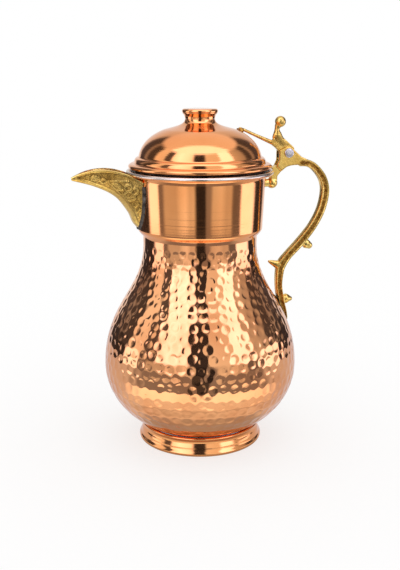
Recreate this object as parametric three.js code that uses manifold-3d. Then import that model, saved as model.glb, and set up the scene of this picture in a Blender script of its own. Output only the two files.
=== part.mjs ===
// Lidded copper jug: a hammered body on a foot ring, a polished neck with a rolled lip, a cast brass
// spout and handle, and a domed lid that turns on a pin between the handle's ears.
// Millimetres, +Z up. The spout points towards -X and the handle towards +X. Every piece is built round
// the body's axis, and at the end the whole jug is moved so that the origin is on the table under the
// middle of its length, from the spout's tip to the handle's back.

import * as THREE from "three";
import { mergeVertices } from "three/addons/utils/BufferGeometryUtils.js";
import Module from "manifold-3d";

// How far the body's axis stands from the origin, towards the spout
const AXIS_OFFSET = 3.5;

// Sheet and joints
const COPPER_WALL = 1.2;
const LID_WALL = 1.0;
const KNOB_WALL = 0.9;
const JOINT_GAP = 0.3;

// Body: heights run up from the table, radii from the axis
const BOTTOM_HEIGHT = 7;
const BELLY_DROP = 58.5;
const BELLY_HEIGHT = 61.5;
const BELLY_RADIUS = 75.4;
const SHOULDER_PULL = 47.5;
const WAIST_PULL = 36.5;
const WAIST_RISE = 95.5;
const WAIST_RADIUS = 43.9;
const WAIST_BAND = 8.5;
const LAP_HEIGHT = 7;

// Neck collar
const STEP_RISE = 5;
const COLLAR_HEIGHT = 48.8;
const COLLAR_STEP = 4.1;
const COLLAR_TAPER = 1.8;
const LIP_OVERHANG = 6.3;
const LIP_BEAD_RADIUS = 1.7;
const LIP_FLARE = 8;
const COLLAR_FILLET = 1.6;

// Strainer behind the spout
const STRAINER_HOLE_RADIUS = 2.4;
const STRAINER_PITCH = 8.5;
const STRAINER_DROP = 16;

// Foot ring
const FOOT_RADIUS = 47.4;
const FOOT_GROOVE = 1.6;
const FOOT_BAND_INSET = 0.5;
const FOOT_ROLL_OUTSET = 1.5;
const FOOT_ROLL_WIDTH = 3.2;
const FOOT_FLANGE = 4;
const FOOT_FILLET = 1.5;

// Lid
const LID_INSET = 1.7;
const BRIM_HEIGHT = 3.5;
const BRIM_WIDTH = 4.1;
const STEP_INSET = 0.4;
const STEP_HEIGHT = 4.3;
const STEP_WIDTH = 2.8;
const DOME_RISE = 30;
const DOME_SPRING = 2.3;
const DOME_FULLNESS = 2.3;
const CROWN_RADIUS = 27.3;
const CROWN_HEIGHT = 36.1;
const KNOB_NECK_RADIUS = 11.3;

// Ring under the lid
const SEAT_GAP = 0.3;
const SEAT_FLANGE_INSET = 1.6;
const SEAT_FLANGE_THICKNESS = 1;
const SKIRT_CLEARANCE = 0.8;
const SKIRT_DEPTH = 5.5;

// Knob
const KNOB_HEIGHT = 7.2;
const KNOB_RADIUS = 13.5;
const KNOB_TOP_RADIUS = 11.9;
const KNOB_LIP_HEIGHT = 3.6;
const KNOB_SLEEVE = 3;

// Spout
const SPOUT_REACH = 98;
const SPOUT_TIP_DROP = 3.5;
const SPOUT_TIP_HEIGHT = 2.2;
const SPOUT_TIP_HALF_WIDTH = 1.2;
const SPOUT_MOUTH_HALF_WIDTH = 17;
const SPOUT_TOP_DROP = 8.7;
const SPOUT_HEIGHT = 37.6;
const SPOUT_WALL = 2;
const SPOUT_SQUARENESS = 2;
const SPOUT_CROWN = 8.7;
const SOLDER_WIDTH = 1.7;
const SOLDER_RISE = 1.5;

// Hinge: the pin lies outside the lip and above it
const PIN_OUTSET = 14;
const PIN_RISE = 10.9;
const PIN_RADIUS = 1.9;
const PIN_CLEARANCE = 0.1;
const PIN_HEAD_RADIUS = 3.6;
const PIN_HEAD_HEIGHT = 1.2;
const EAR_RADIUS = 4.9;
const EAR_THICKNESS = 2.2;
const LEVER_THICKNESS = 3.5;
const LEVER_SIDE_GAP = 0.3;
const SLOT_RADIUS = 7.4;

// Handle
const HANDLE_REACH = 105.3;
const HANDLE_WIDTH = 6.2;
const HANDLE_THICKNESS = 6.5;
const HANDLE_DIP = 5.5;
const HANDLE_RIM = 1.3;
const HANDLE_CHANNEL = 0.5;
const TAIL_HEIGHT = 90;
const TAIL_PAD_WIDTH = 9;
const TAIL_PAD_SHARE = 0.2;
const BOSS_RADIUS = 4.4;
const BOSS_DROP = 12.1;
const BOSS_OUTSET = 8.2;
const BOSS_STEM_RADIUS = 3.2;
const RIVET_RADIUS = 1.6;
const RIVET_HEAD_RADIUS = 3;
const RIVET_HEAD_HEIGHT = 1.2;
const RIVET_DEPTH = 4.5;

// Thumb lever
const HINGE_EYE_RADIUS = 4.7;
const FIGURE_HEAD_RADIUS = 4.3;
const FIGURE_HEIGHT = 28.1;
const ARM_REACH = 30.6;
const ARM_RADIUS = 1.15;
const ARM_SEAT_GAP = 0.5;
const ARM_SOLDER_RADIUS = 3;

// Facets
const BODY_SEGMENTS = 36;
const KNOB_SEGMENTS = 24;
const PIN_SEGMENTS = 24;
const RIVET_SEGMENTS = 16;
const HANDLE_STEPS = 26;
const LIP_FLARE_STEPS = 3;
const LIP_ROLL_STEPS = 5;

// Heights and places that follow from the sizes above
const COLLAR_FOOT_RADIUS = WAIST_RADIUS + COLLAR_STEP;
const COLLAR_TOP_RADIUS = COLLAR_FOOT_RADIUS + COLLAR_TAPER;
const LIP_RADIUS = COLLAR_TOP_RADIUS + LIP_OVERHANG;
const LID_RADIUS = LIP_RADIUS - LID_INSET;
const STEP_RADIUS = LID_RADIUS - BRIM_WIDTH - STEP_INSET;
const DOME_RADIUS = STEP_RADIUS - STEP_WIDTH;
const WAIST_HEIGHT = BELLY_HEIGHT + WAIST_RISE;
const SEAM_HEIGHT = WAIST_HEIGHT + WAIST_BAND;
const LIP_HEIGHT = SEAM_HEIGHT + COLLAR_HEIGHT;
const BRIM_UNDERSIDE = LIP_HEIGHT + SEAT_GAP + SEAT_FLANGE_THICKNESS + JOINT_GAP;
const CROWN_TOP = BRIM_UNDERSIDE + CROWN_HEIGHT;
const SLEEVE_RADIUS = COLLAR_FOOT_RADIUS - COPPER_WALL - JOINT_GAP;
const SKIRT_RADIUS = COLLAR_TOP_RADIUS - COPPER_WALL - SKIRT_CLEARANCE;
const PIN = new THREE.Vector2(LIP_RADIUS + PIN_OUTSET, LIP_HEIGHT + PIN_RISE);
const CLEVIS_GAP = LEVER_THICKNESS + 2 * LEVER_SIDE_GAP;
const CLEVIS_WIDTH = CLEVIS_GAP + 2 * EAR_THICKNESS;

const COPPER = { color: 0xd98a5b, roughness: 0.18, metalness: 1 };
const BRASS = { color: 0xb99a45, roughness: 0.42, metalness: 1 };
const SOLDER = { color: 0x77736d, roughness: 0.5, metalness: 1 };
const ALUMINIUM = { color: 0xc9c8cc, roughness: 0.4, metalness: 1 };

const wasm = await Module();
wasm.setup();

// Booleans: a closed geometry as a solid, and back

function solid(geometry) {
  const bare = new THREE.BufferGeometry();
  bare.setAttribute("position", geometry.getAttribute("position"));
  bare.setIndex(geometry.getIndex());
  const merged = mergeVertices(bare, 1e-4);
  const corners = merged.getIndex().array;
  const kept = [];
  for (let i = 0; i < corners.length; i += 3) {
    const [a, b, c] = [corners[i], corners[i + 1], corners[i + 2]];
    if (a !== b && b !== c && c !== a) kept.push(a, b, c);
  }
  return new wasm.Manifold(
    new wasm.Mesh({
      numProp: 3,
      vertProperties: merged.getAttribute("position").array,
      triVerts: new Uint32Array(kept),
    }),
  );
}

function geometryOf(manifold) {
  const mesh = manifold.getMesh();
  const geometry = new THREE.BufferGeometry();
  geometry.setAttribute("position", new THREE.BufferAttribute(mesh.vertProperties, 3));
  geometry.setIndex(new THREE.BufferAttribute(mesh.triVerts, 1));
  return geometry;
}

function part(name, manifold, finish) {
  const geometry = geometryOf(manifold);
  geometry.computeVertexNormals();
  const mesh = new THREE.Mesh(geometry, new THREE.MeshStandardMaterial(finish));
  mesh.name = name;
  return mesh;
}

// Forms: a turned outline, a plate cut from an outline, and a loft through rings

function turned(outline, segments = BODY_SEGMENTS) {
  const closed = [...outline];
  if (outline[0].x > 0) closed.push(outline[0].clone());
  const geometry = new THREE.LatheGeometry(closed, segments);
  geometry.rotateX(Math.PI / 2);
  return solid(geometry);
}

function plate(outline, thickness, divisions = 6) {
  const shape = Array.isArray(outline) ? new THREE.Shape(outline) : outline;
  const settings = { depth: thickness, bevelEnabled: false, curveSegments: divisions };
  const geometry = new THREE.ExtrudeGeometry(shape, settings);
  geometry.translate(0, 0, -thickness / 2);
  geometry.rotateX(Math.PI / 2);
  return solid(geometry);
}

function loft(rings) {
  const count = rings[0].length;
  const points = rings.flat();
  const faces = [];
  for (let i = 0; i < rings.length - 1; i++) {
    for (let j = 0; j < count; j++) {
      const a = i * count + j;
      const b = i * count + ((j + 1) % count);
      faces.push(a, b, b + count, a, b + count, a + count);
    }
  }
  const last = points.length - count;
  for (const [start, flip] of [[0, true], [last, false]]) {
    const centre = new THREE.Vector3();
    for (let j = 0; j < count; j++) centre.addScaledVector(points[start + j], 1 / count);
    points.push(centre);
    const middle = points.length - 1;
    for (let j = 0; j < count; j++) {
      const a = start + j;
      const b = start + ((j + 1) % count);
      faces.push(middle, flip ? b : a, flip ? a : b);
    }
  }
  const geometry = new THREE.BufferGeometry().setFromPoints(points);
  geometry.setIndex(faces);
  return solid(geometry);
}

function ball(centre, radius, segments = 12) {
  const geometry = new THREE.SphereGeometry(radius, segments, Math.round(segments * 0.6));
  geometry.translate(centre.x, centre.y, centre.z);
  return solid(geometry);
}

function bar(from, to, radius, segments = PIN_SEGMENTS) {
  const length = from.distanceTo(to);
  const geometry = new THREE.CylinderGeometry(radius, radius, length, segments);
  const direction = new THREE.Vector3().subVectors(to, from).normalize();
  geometry.applyQuaternion(
    new THREE.Quaternion().setFromUnitVectors(new THREE.Vector3(0, 1, 0), direction),
  );
  const middle = new THREE.Vector3().addVectors(from, to).multiplyScalar(0.5);
  geometry.translate(middle.x, middle.y, middle.z);
  return solid(geometry);
}

function point(x, y) {
  return new THREE.Vector2(x, y);
}

function space(x, y, z) {
  return new THREE.Vector3(x, y, z);
}

// A curve's points without its first one, so that stretches of an outline follow each other
function stretch(curve, steps) {
  return curve.getPoints(steps).slice(1);
}

// Moves an open outline sideways: a positive distance goes to the right of its direction
function offset(line, distance) {
  return line.map((p, i) => {
    const before = line[Math.max(i - 1, 0)];
    const after = line[Math.min(i + 1, line.length - 1)];
    const along = point(after.x - before.x, after.y - before.y).normalize();
    return point(p.x + along.y * distance, p.y - along.x * distance);
  });
}

// Radius of an outline at a height, on a stretch where the height only rises
function radiusAt(line, height) {
  for (let i = 1; i < line.length; i++) {
    const [a, b] = [line[i - 1], line[i]];
    if (height >= a.y && height <= b.y && b.y > a.y) {
      return a.x + ((b.x - a.x) * (height - a.y)) / (b.y - a.y);
    }
  }
  return line[line.length - 1].x;
}

// Body shell

// The flare under the collar, from the waist out to the sleeve that the collar covers
function flare(steps = 4) {
  const line = [];
  for (let i = 0; i <= steps; i++) {
    const t = i / steps;
    const out = t * t * (3 - 2 * t);
    const radius = THREE.MathUtils.lerp(WAIST_RADIUS, SLEEVE_RADIUS, out);
    line.push(point(radius, SEAM_HEIGHT + t * STEP_RISE));
  }
  return line;
}

// The belly's outside from its flat bottom to the waist: an ellipse below the widest line, and one
// long S-curve above it
function bellyOutline() {
  const centre = BELLY_HEIGHT;
  const start = Math.acos((centre - BOTTOM_HEIGHT) / BELLY_DROP);
  const line = [];
  const steps = 7;
  for (let i = 0; i <= steps; i++) {
    const angle = THREE.MathUtils.lerp(start, Math.PI / 2, i / steps);
    line.push(point(BELLY_RADIUS * Math.sin(angle), centre - BELLY_DROP * Math.cos(angle)));
  }
  const shoulder = new THREE.CubicBezierCurve(
    point(BELLY_RADIUS, BELLY_HEIGHT),
    point(BELLY_RADIUS, BELLY_HEIGHT + SHOULDER_PULL),
    point(WAIST_RADIUS, WAIST_HEIGHT - WAIST_PULL),
    point(WAIST_RADIUS, WAIST_HEIGHT),
  );
  return [...line, ...stretch(shoulder, 8)];
}

function bodyShell() {
  const sleeveTop = point(SLEEVE_RADIUS, SEAM_HEIGHT + STEP_RISE + LAP_HEIGHT);
  const outside = [...bellyOutline(), ...flare(), sleeveTop];
  const inside = offset(outside, -COPPER_WALL).reverse();
  inside[0].y = sleeveTop.y;
  const floor = inside[inside.length - 1];
  floor.y = BOTTOM_HEIGHT + COPPER_WALL;
  return turned([point(0, BOTTOM_HEIGHT), ...outside, ...inside, point(0, floor.y)]);
}

// Neck collar

// The collar's outside without its lip, from the step's thin edge up to where the lip starts to flare
function collarOutline() {
  const covered = flare().slice(1);
  const step = offset(covered, JOINT_GAP + COPPER_WALL);
  step[0] = offset(covered, JOINT_GAP + COPPER_WALL / 3)[0];
  const top = point(COLLAR_TOP_RADIUS, LIP_HEIGHT - LIP_FLARE);
  return [...step, top];
}

function collarInside() {
  const covered = offset(flare().slice(1), JOINT_GAP);
  const top = point(COLLAR_TOP_RADIUS - COPPER_WALL, LIP_HEIGHT - LIP_FLARE);
  return [...covered, top];
}

function lipOutline() {
  const bead = point(LIP_RADIUS - LIP_BEAD_RADIUS, LIP_HEIGHT - LIP_BEAD_RADIUS);
  const under = point(bead.x - LIP_BEAD_RADIUS, bead.y - LIP_BEAD_RADIUS * 0.35);
  const outer = new THREE.QuadraticBezierCurve(
    point(COLLAR_TOP_RADIUS, LIP_HEIGHT - LIP_FLARE),
    point(COLLAR_TOP_RADIUS, under.y - 1),
    under,
  );
  const roll = [];
  for (let i = 0; i <= LIP_ROLL_STEPS; i++) {
    const angle = THREE.MathUtils.lerp(-0.62, 0.5, i / LIP_ROLL_STEPS) * Math.PI;
    const [x, y] = [Math.cos(angle), Math.sin(angle)];
    roll.push(point(bead.x + LIP_BEAD_RADIUS * x, bead.y + LIP_BEAD_RADIUS * y));
  }
  const throat = COLLAR_TOP_RADIUS - COPPER_WALL;
  const inner = new THREE.CubicBezierCurve(
    point(bead.x, LIP_HEIGHT),
    point(bead.x - 3, LIP_HEIGHT),
    point(throat, LIP_HEIGHT - 1),
    point(throat, LIP_HEIGHT - LIP_FLARE),
  );
  return [...stretch(outer, LIP_FLARE_STEPS), ...roll, ...stretch(inner, 4).slice(0, -1)];
}

function neckCollar() {
  const outline = [...collarOutline(), ...lipOutline(), ...collarInside().reverse()];
  let collar = turned(outline);
  for (const hole of strainerHoles()) collar = collar.subtract(hole);
  return collar.subtract(rivetBar(RIVET_RADIUS + PIN_CLEARANCE));
}

// Ten holes in three staggered rows, drilled through the wall behind the spout
function strainerHoles() {
  const holes = [];
  for (const row of [0, 1, 2]) {
    const places = row === 1 ? [-1.5, -0.5, 0.5, 1.5] : [-1, 0, 1];
    const z = LIP_HEIGHT - STRAINER_DROP - row * STRAINER_PITCH * 0.87;
    for (const place of places) {
      const angle = Math.PI + (place * STRAINER_PITCH) / COLLAR_TOP_RADIUS;
      const away = space(Math.cos(angle), Math.sin(angle), 0);
      const from = away.clone().multiplyScalar(COLLAR_TOP_RADIUS - 4 * COPPER_WALL).setZ(z);
      const to = away.clone().multiplyScalar(COLLAR_TOP_RADIUS + 2 * COPPER_WALL).setZ(z);
      holes.push(bar(from, to, STRAINER_HOLE_RADIUS, 8));
    }
  }
  return holes;
}

// A triangular fillet of solder on top of the body's sleeve, against the collar's inside
function collarSolder() {
  const low = SEAM_HEIGHT + STEP_RISE + LAP_HEIGHT + JOINT_GAP;
  const wall = collarInside();
  const outer = (height) => radiusAt(wall, height) - JOINT_GAP;
  return turned([
    point(SLEEVE_RADIUS - COPPER_WALL, low),
    point(outer(low), low),
    point(outer(low + COLLAR_FILLET), low + COLLAR_FILLET),
  ]);
}

// Foot ring

function bellyUnderside(radius) {
  return BELLY_HEIGHT - BELLY_DROP * Math.sqrt(1 - (radius / BELLY_RADIUS) ** 2);
}

function footRing() {
  const flangeRadius = FOOT_RADIUS - FOOT_FLANGE;
  const flangeTop = bellyUnderside(flangeRadius) - JOINT_GAP * 1.3;
  const top = bellyUnderside(FOOT_RADIUS) - FOOT_GROOVE;
  const band = top * 0.66;
  const bandRadius = FOOT_RADIUS - FOOT_BAND_INSET;
  const rollRadius = FOOT_RADIUS + FOOT_ROLL_OUTSET;
  const roll = FOOT_ROLL_WIDTH;
  return turned([
    point(rollRadius - roll, 0),
    point(rollRadius - roll * 0.3, 0),
    point(rollRadius, roll * 0.45),
    point(rollRadius - roll * 0.1, roll),
    point(THREE.MathUtils.lerp(bandRadius, rollRadius, 0.25), roll + (band - roll) * 0.45),
    point(bandRadius, band),
    point(FOOT_RADIUS, top - 1),
    point(FOOT_RADIUS - 0.9, top),
    point(flangeRadius, flangeTop),
    point(flangeRadius, flangeTop - COPPER_WALL),
    point(bandRadius - COPPER_WALL, top - COPPER_WALL - 0.6),
    point(bandRadius - COPPER_WALL, band),
    point(rollRadius - roll * 0.75, roll),
  ]);
}

// Solder in the corner between the belly's underside and the foot's flange
function footSolder() {
  const outer = FOOT_RADIUS - FOOT_FLANGE - JOINT_GAP;
  const inner = outer - FOOT_FILLET;
  const gap = JOINT_GAP * 1.3;
  return turned([
    point(inner, bellyUnderside(inner) - gap - 0.4),
    point(outer, bellyUnderside(outer) - gap - FOOT_FILLET),
    point(outer, bellyUnderside(outer) - gap),
    point(inner, bellyUnderside(inner) - gap),
  ]);
}

// Lid

function domeHeight(radius) {
  const share = 1 - (radius / DOME_RADIUS) ** DOME_FULLNESS;
  return BRIM_UNDERSIDE + DOME_SPRING + DOME_RISE * share ** (1 / DOME_FULLNESS);
}

// The lid's outside from the brim's lower edge up to the neck under the knob
function lidOutline() {
  const brimTop = BRIM_UNDERSIDE + BRIM_HEIGHT;
  const stepTop = brimTop + STEP_HEIGHT;
  const line = [point(LID_RADIUS - 0.6, BRIM_UNDERSIDE), point(LID_RADIUS, BRIM_UNDERSIDE + 0.7)];
  line.push(...quarterRound(LID_RADIUS, BRIM_UNDERSIDE + 1.2, LID_RADIUS - BRIM_WIDTH, brimTop));
  line.push(...quarterRound(STEP_RADIUS, brimTop + 0.5, DOME_RADIUS + 0.2, stepTop));
  const foot = (stepTop + 0.6 - BRIM_UNDERSIDE - DOME_SPRING) / DOME_RISE;
  const start = Math.asin(foot ** (DOME_FULLNESS / 2));
  const crown = (CROWN_RADIUS / DOME_RADIUS) ** (DOME_FULLNESS / 2);
  const end = Math.acos(crown);
  const steps = 5;
  for (let i = 0; i <= steps; i++) {
    const angle = THREE.MathUtils.lerp(start, end, i / steps);
    const radius = DOME_RADIUS * Math.cos(angle) ** (2 / DOME_FULLNESS);
    line.push(point(radius, domeHeight(radius)));
  }
  return [...line, ...stretch(crownCurve(), 5)];
}

function quarterRound(outerRadius, low, innerRadius, high, steps = 2) {
  const line = [];
  for (let i = 0; i <= steps; i++) {
    const angle = ((i / steps) * Math.PI) / 2;
    line.push(
      point(
        innerRadius + (outerRadius - innerRadius) * Math.cos(angle),
        low + (high - low) * Math.sin(angle),
      ),
    );
  }
  return line;
}

// The hollow sweep from the dome up to the knob's neck
function crownCurve() {
  const foot = point(CROWN_RADIUS, domeHeight(CROWN_RADIUS));
  const reach = CROWN_RADIUS - KNOB_NECK_RADIUS;
  const rise = CROWN_TOP - foot.y;
  return new THREE.CubicBezierCurve(
    foot,
    point(foot.x - reach * 0.45, foot.y + rise * 0.28),
    point(KNOB_NECK_RADIUS, foot.y + rise * 0.41),
    point(KNOB_NECK_RADIUS, CROWN_TOP),
  );
}

function lidShell() {
  const outside = lidOutline();
  const brimTop = BRIM_UNDERSIDE + BRIM_HEIGHT;
  const stepTop = brimTop + STEP_HEIGHT;
  const dome = outside.filter((p) => p.y > stepTop + 0.5);
  const inside = offset(dome, -LID_WALL).reverse();
  inside[0].y = CROWN_TOP;
  const under = [
    point(DOME_RADIUS - LID_WALL - 0.2, stepTop - LID_WALL),
    point(STEP_RADIUS - LID_WALL - 0.4, brimTop + 1.2),
    point(LID_RADIUS - BRIM_WIDTH - LID_WALL, brimTop - LID_WALL),
    point(LID_RADIUS - 3.2, BRIM_UNDERSIDE),
  ];
  return turned([...outside, ...inside, ...under]);
}

function lidInnerRing() {
  const low = LIP_HEIGHT + SEAT_GAP;
  const high = low + SEAT_FLANGE_THICKNESS;
  return turned([
    point(SKIRT_RADIUS - LID_WALL, low - SKIRT_DEPTH),
    point(SKIRT_RADIUS, low - SKIRT_DEPTH),
    point(SKIRT_RADIUS, low),
    point(LID_RADIUS - SEAT_FLANGE_INSET, low),
    point(LID_RADIUS - SEAT_FLANGE_INSET, high),
    point(SKIRT_RADIUS - LID_WALL, high),
  ]);
}

// Knob

function knobOutline() {
  const low = CROWN_TOP + JOINT_GAP;
  const lip = low + KNOB_HEIGHT - KNOB_LIP_HEIGHT / 2;
  const waist = new THREE.QuadraticBezierCurve(
    point(KNOB_NECK_RADIUS, low),
    point(KNOB_NECK_RADIUS, low + KNOB_HEIGHT * 0.3),
    point(KNOB_RADIUS - 0.4, lip - KNOB_LIP_HEIGHT * 0.4),
  );
  const top = low + KNOB_HEIGHT;
  return [
    point(KNOB_NECK_RADIUS, low),
    ...stretch(waist, 4),
    point(KNOB_RADIUS, lip - 0.5),
    point(KNOB_RADIUS, lip + 0.2),
    point(KNOB_RADIUS - 0.4, top - 0.7),
    point(KNOB_TOP_RADIUS, top),
  ];
}

function lidKnob() {
  const top = CROWN_TOP + JOINT_GAP + KNOB_HEIGHT;
  const outside = knobOutline();
  const sleeve = KNOB_NECK_RADIUS - LID_WALL - JOINT_GAP;
  const low = CROWN_TOP - KNOB_SLEEVE;
  return turned(
    [
      point(sleeve - KNOB_WALL, low),
      point(sleeve, low),
      point(sleeve, CROWN_TOP + JOINT_GAP),
      ...outside,
      point(0, top),
      point(0, top - KNOB_WALL),
      point(KNOB_TOP_RADIUS - KNOB_WALL / 2, top - KNOB_WALL),
      point(KNOB_RADIUS - KNOB_WALL - 0.3, top - KNOB_LIP_HEIGHT / 2),
      point(sleeve - KNOB_WALL, CROWN_TOP + KNOB_WALL),
    ],
    KNOB_SEGMENTS,
  );
}

// Solder under the knob's sleeve, in the corner with the lid's neck
function knobSolder() {
  const outer = KNOB_NECK_RADIUS - LID_WALL - JOINT_GAP;
  const top = CROWN_TOP - KNOB_SLEEVE - JOINT_GAP;
  return turned(
    [point(outer - 1.1, top), point(outer - 0.5, top - 0.9), point(outer, top - 1), point(outer, top)],
    KNOB_SEGMENTS,
  );
}

// Spout

// One half of the beak's outside runs from the top edge down to the keel. Both follow their own curve
// from the tip (t = 0) to the neck (t = 1).
function spoutTopEdge() {
  const tip = point(-SPOUT_REACH, LIP_HEIGHT - SPOUT_TIP_DROP);
  const mouth = Math.sqrt(COLLAR_TOP_RADIUS ** 2 - SPOUT_MOUTH_HALF_WIDTH ** 2) - 3;
  const end = point(-mouth, LIP_HEIGHT - SPOUT_TOP_DROP);
  const length = end.x - tip.x;
  return new THREE.CubicBezierCurve(
    tip,
    point(tip.x + length * 0.28, tip.y + SPOUT_CROWN),
    point(tip.x + length * 0.67, tip.y + SPOUT_CROWN * 0.95),
    end,
  );
}

function spoutKeel() {
  const tip = point(-SPOUT_REACH + 0.6, LIP_HEIGHT - SPOUT_TIP_DROP - SPOUT_TIP_HEIGHT);
  const low = LIP_HEIGHT - SPOUT_TOP_DROP - SPOUT_HEIGHT;
  const end = point(-radiusAt(collarOutline(), low) + 2, low);
  const shares = [
    [0, 0],
    [0.32, 0.12],
    [0.6, 0.31],
    [0.78, 0.6],
    [0.86, 0.82],
    [1, 1],
  ];
  return new THREE.SplineCurve(
    shares.map(([along, down]) =>
      point(THREE.MathUtils.lerp(tip.x, end.x, along), THREE.MathUtils.lerp(tip.y, low, down)),
    ),
  );
}

// A ring of the beak: half its width at the top, and a superellipse down to the keel
function spoutRing(t, grow, sideSteps = 7) {
  const top = spoutTopEdge().getPoint(t);
  const keel = spoutKeel().getPoint(t);
  const span = top.x + SPOUT_REACH;
  const mouth = -Math.sqrt(COLLAR_TOP_RADIUS ** 2 - SPOUT_MOUTH_HALF_WIDTH ** 2) + SPOUT_REACH;
  const spread = (SPOUT_MOUTH_HALF_WIDTH - SPOUT_TIP_HALF_WIDTH) / mouth;
  const half = SPOUT_TIP_HALF_WIDTH + span * spread + grow;
  const height = top.distanceTo(keel);
  const power = 2 / SPOUT_SQUARENESS;
  const side = [];
  for (let i = 0; i <= sideSteps; i++) {
    const angle = ((i / sideSteps) * Math.PI) / 2;
    const down = Math.sin(angle) ** power * (1 + grow / height);
    const x = THREE.MathUtils.lerp(top.x, keel.x, down);
    const z = THREE.MathUtils.lerp(top.y, keel.y, down);
    side.push(space(x, half * Math.cos(angle) ** power, z));
  }
  const mirrored = side.slice(0, -1).reverse().map((p) => space(p.x, -p.y, p.z));
  return [...side, ...mirrored];
}

function spoutOuter(grow = 0) {
  const steps = 12;
  const rings = [];
  for (let i = 0; i <= steps; i++) rings.push(spoutRing(i / steps, grow).reverse());
  return loft(rings);
}

// The trough is the beak's inside, lifted above the top edge so that it cuts it open
function spoutTrough() {
  const steps = 10;
  const start = 0.1;
  const rings = [];
  for (let i = 0; i <= steps; i++) {
    const ring = spoutRing(THREE.MathUtils.lerp(start, 1, i / steps), -SPOUT_WALL);
    const lift = SPOUT_WALL * 3;
    ring[0].z += lift;
    ring[ring.length - 1].z += lift;
    const extra = i === steps ? 3 : 0;
    rings.push(ring.map((p) => space(p.x + extra, p.y, p.z)).reverse());
  }
  return loft(rings);
}

function neckCutter(gap) {
  const lip = lipOutline().slice(0, LIP_FLARE_STEPS + LIP_ROLL_STEPS - 1);
  const line = offset([...collarOutline(), ...lip], gap);
  const low = line[0];
  const top = LIP_HEIGHT + LIP_BEAD_RADIUS;
  return turned([
    point(0, low.y - 20),
    point(WAIST_RADIUS + gap, low.y - 20),
    point(WAIST_RADIUS + gap, low.y - 1),
    ...line,
    point(LIP_RADIUS - LIP_BEAD_RADIUS + gap, top),
    point(0, top),
  ]);
}

function spout() {
  return spoutOuter().subtract(spoutTrough()).subtract(neckCutter(JOINT_GAP));
}

// The grey seam: a thin strip round the beak's edge on the neck, cut from a shell round the collar
function spoutSolder() {
  const shell = neckCutter(SOLDER_RISE).subtract(neckCutter(JOINT_GAP));
  const around = spoutOuter(SOLDER_WIDTH).subtract(spoutOuter(JOINT_GAP));
  const top = LIP_HEIGHT - SPOUT_TOP_DROP - 1;
  const above = plate(
    [point(-SPOUT_REACH, top), point(0, top), point(0, top + 40), point(-SPOUT_REACH, top + 40)],
    200,
  );
  const beneath = plate(
    [
      point(-SPOUT_REACH, SEAM_HEIGHT + STEP_RISE),
      point(0, SEAM_HEIGHT + STEP_RISE),
      point(0, SEAM_HEIGHT - 40),
      point(-SPOUT_REACH, SEAM_HEIGHT - 40),
    ].reverse(),
    200,
  );
  return shell.intersect(around).subtract(above).subtract(beneath);
}

// Handle

function bodyOutside() {
  return [...bellyOutline(), ...flare()];
}

// The handle's middle line and width, from the tail up to the crown. A station holds its height as a
// share of the way from the tail to the pin, its distance out from that line, and its width.
function handleStations() {
  const line = bodyOutside();
  const tail = point(radiusAt(line, TAIL_HEIGHT), TAIL_HEIGHT);
  const bow = HANDLE_REACH - PIN.x - HANDLE_WIDTH / 2;
  const shares = [
    [0, 0, 0.65],
    [0.059, -0.27 * HANDLE_DIP, 0.8],
    [0.133, -0.7 * HANDLE_DIP, 0.82],
    [0.221, -HANDLE_DIP, 0.87],
    [0.3, -0.9 * HANDLE_DIP, 1.05],
    [0.345, -0.62 * HANDLE_DIP, 1.15],
    [0.398, bow * 0.06, 0.9],
    [0.471, bow * 0.362, 0.93],
    [0.565, bow * 0.688, 0.86],
    [0.666, bow * 0.912, 0.88],
    [0.771, bow, 0.9],
    [0.848, bow * 0.925, 0.84],
    [0.909, bow * 0.724, 0.85],
    [0.936, bow * 0.531, 0.9],
    [0.943, bow * 0.338, 1.02],
  ];
  return shares.map(([up, out, width]) => ({
    place: point(THREE.MathUtils.lerp(tail.x, PIN.x, up) + out, THREE.MathUtils.lerp(tail.y, PIN.y, up)),
    width: width * HANDLE_WIDTH,
  }));
}

// Cross-section of the bar: smooth rims along both edges of each side, a shallow channel between them
function handleRing(centre, along, width, thickness) {
  const across = point(along.y, -along.x);
  const a = width / 2;
  const b = thickness / 2;
  const rim = Math.min(HANDLE_RIM, a * 0.45);
  const chamfer = Math.min(0.9, a * 0.3);
  const deep = Math.min(HANDLE_CHANNEL, a * 0.2);
  const corner = [
    [a, b - chamfer],
    [a - chamfer, b],
    [a - rim, b],
    [a - rim - deep, b - deep],
  ];
  const back = corner.map(([u, v]) => [-u, v]).reverse();
  const half = [...corner, ...back];
  const other = half.map(([u, v]) => [-u, -v]);
  return [...half, ...other].map(([u, v]) =>
    space(centre.x + across.x * u, v, centre.y + across.y * u),
  );
}

// The bar lofted from the tail up to a share of its length, a little larger where a neighbour needs it
function handleBar(grow = 0, share = 1) {
  const stations = handleStations();
  const middle = new THREE.SplineCurve(stations.map((s) => s.place));
  const last = stations.length - 1;
  const steps = Math.round(HANDLE_STEPS * share);
  const rings = [];
  for (let i = 0; i <= steps; i++) {
    const t = i / HANDLE_STEPS;
    const at = t * last;
    const lower = Math.min(Math.floor(at), last - 1);
    const width = THREE.MathUtils.lerp(stations[lower].width, stations[lower + 1].width, at - lower);
    const centre = middle.getPoint(t);
    const along = middle.getTangent(t);
    const pad = Math.max(0, 1 - t / TAIL_PAD_SHARE);
    const thickness = THREE.MathUtils.lerp(HANDLE_THICKNESS, TAIL_PAD_WIDTH, Math.sqrt(pad));
    const leaf = i === 0 ? 0.6 : 1;
    if (i === 0) centre.addScaledVector(along, -grow);
    rings.push(handleRing(centre, along, width + 2 * grow, thickness * leaf + 2 * grow));
  }
  return loft(rings);
}

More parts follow.
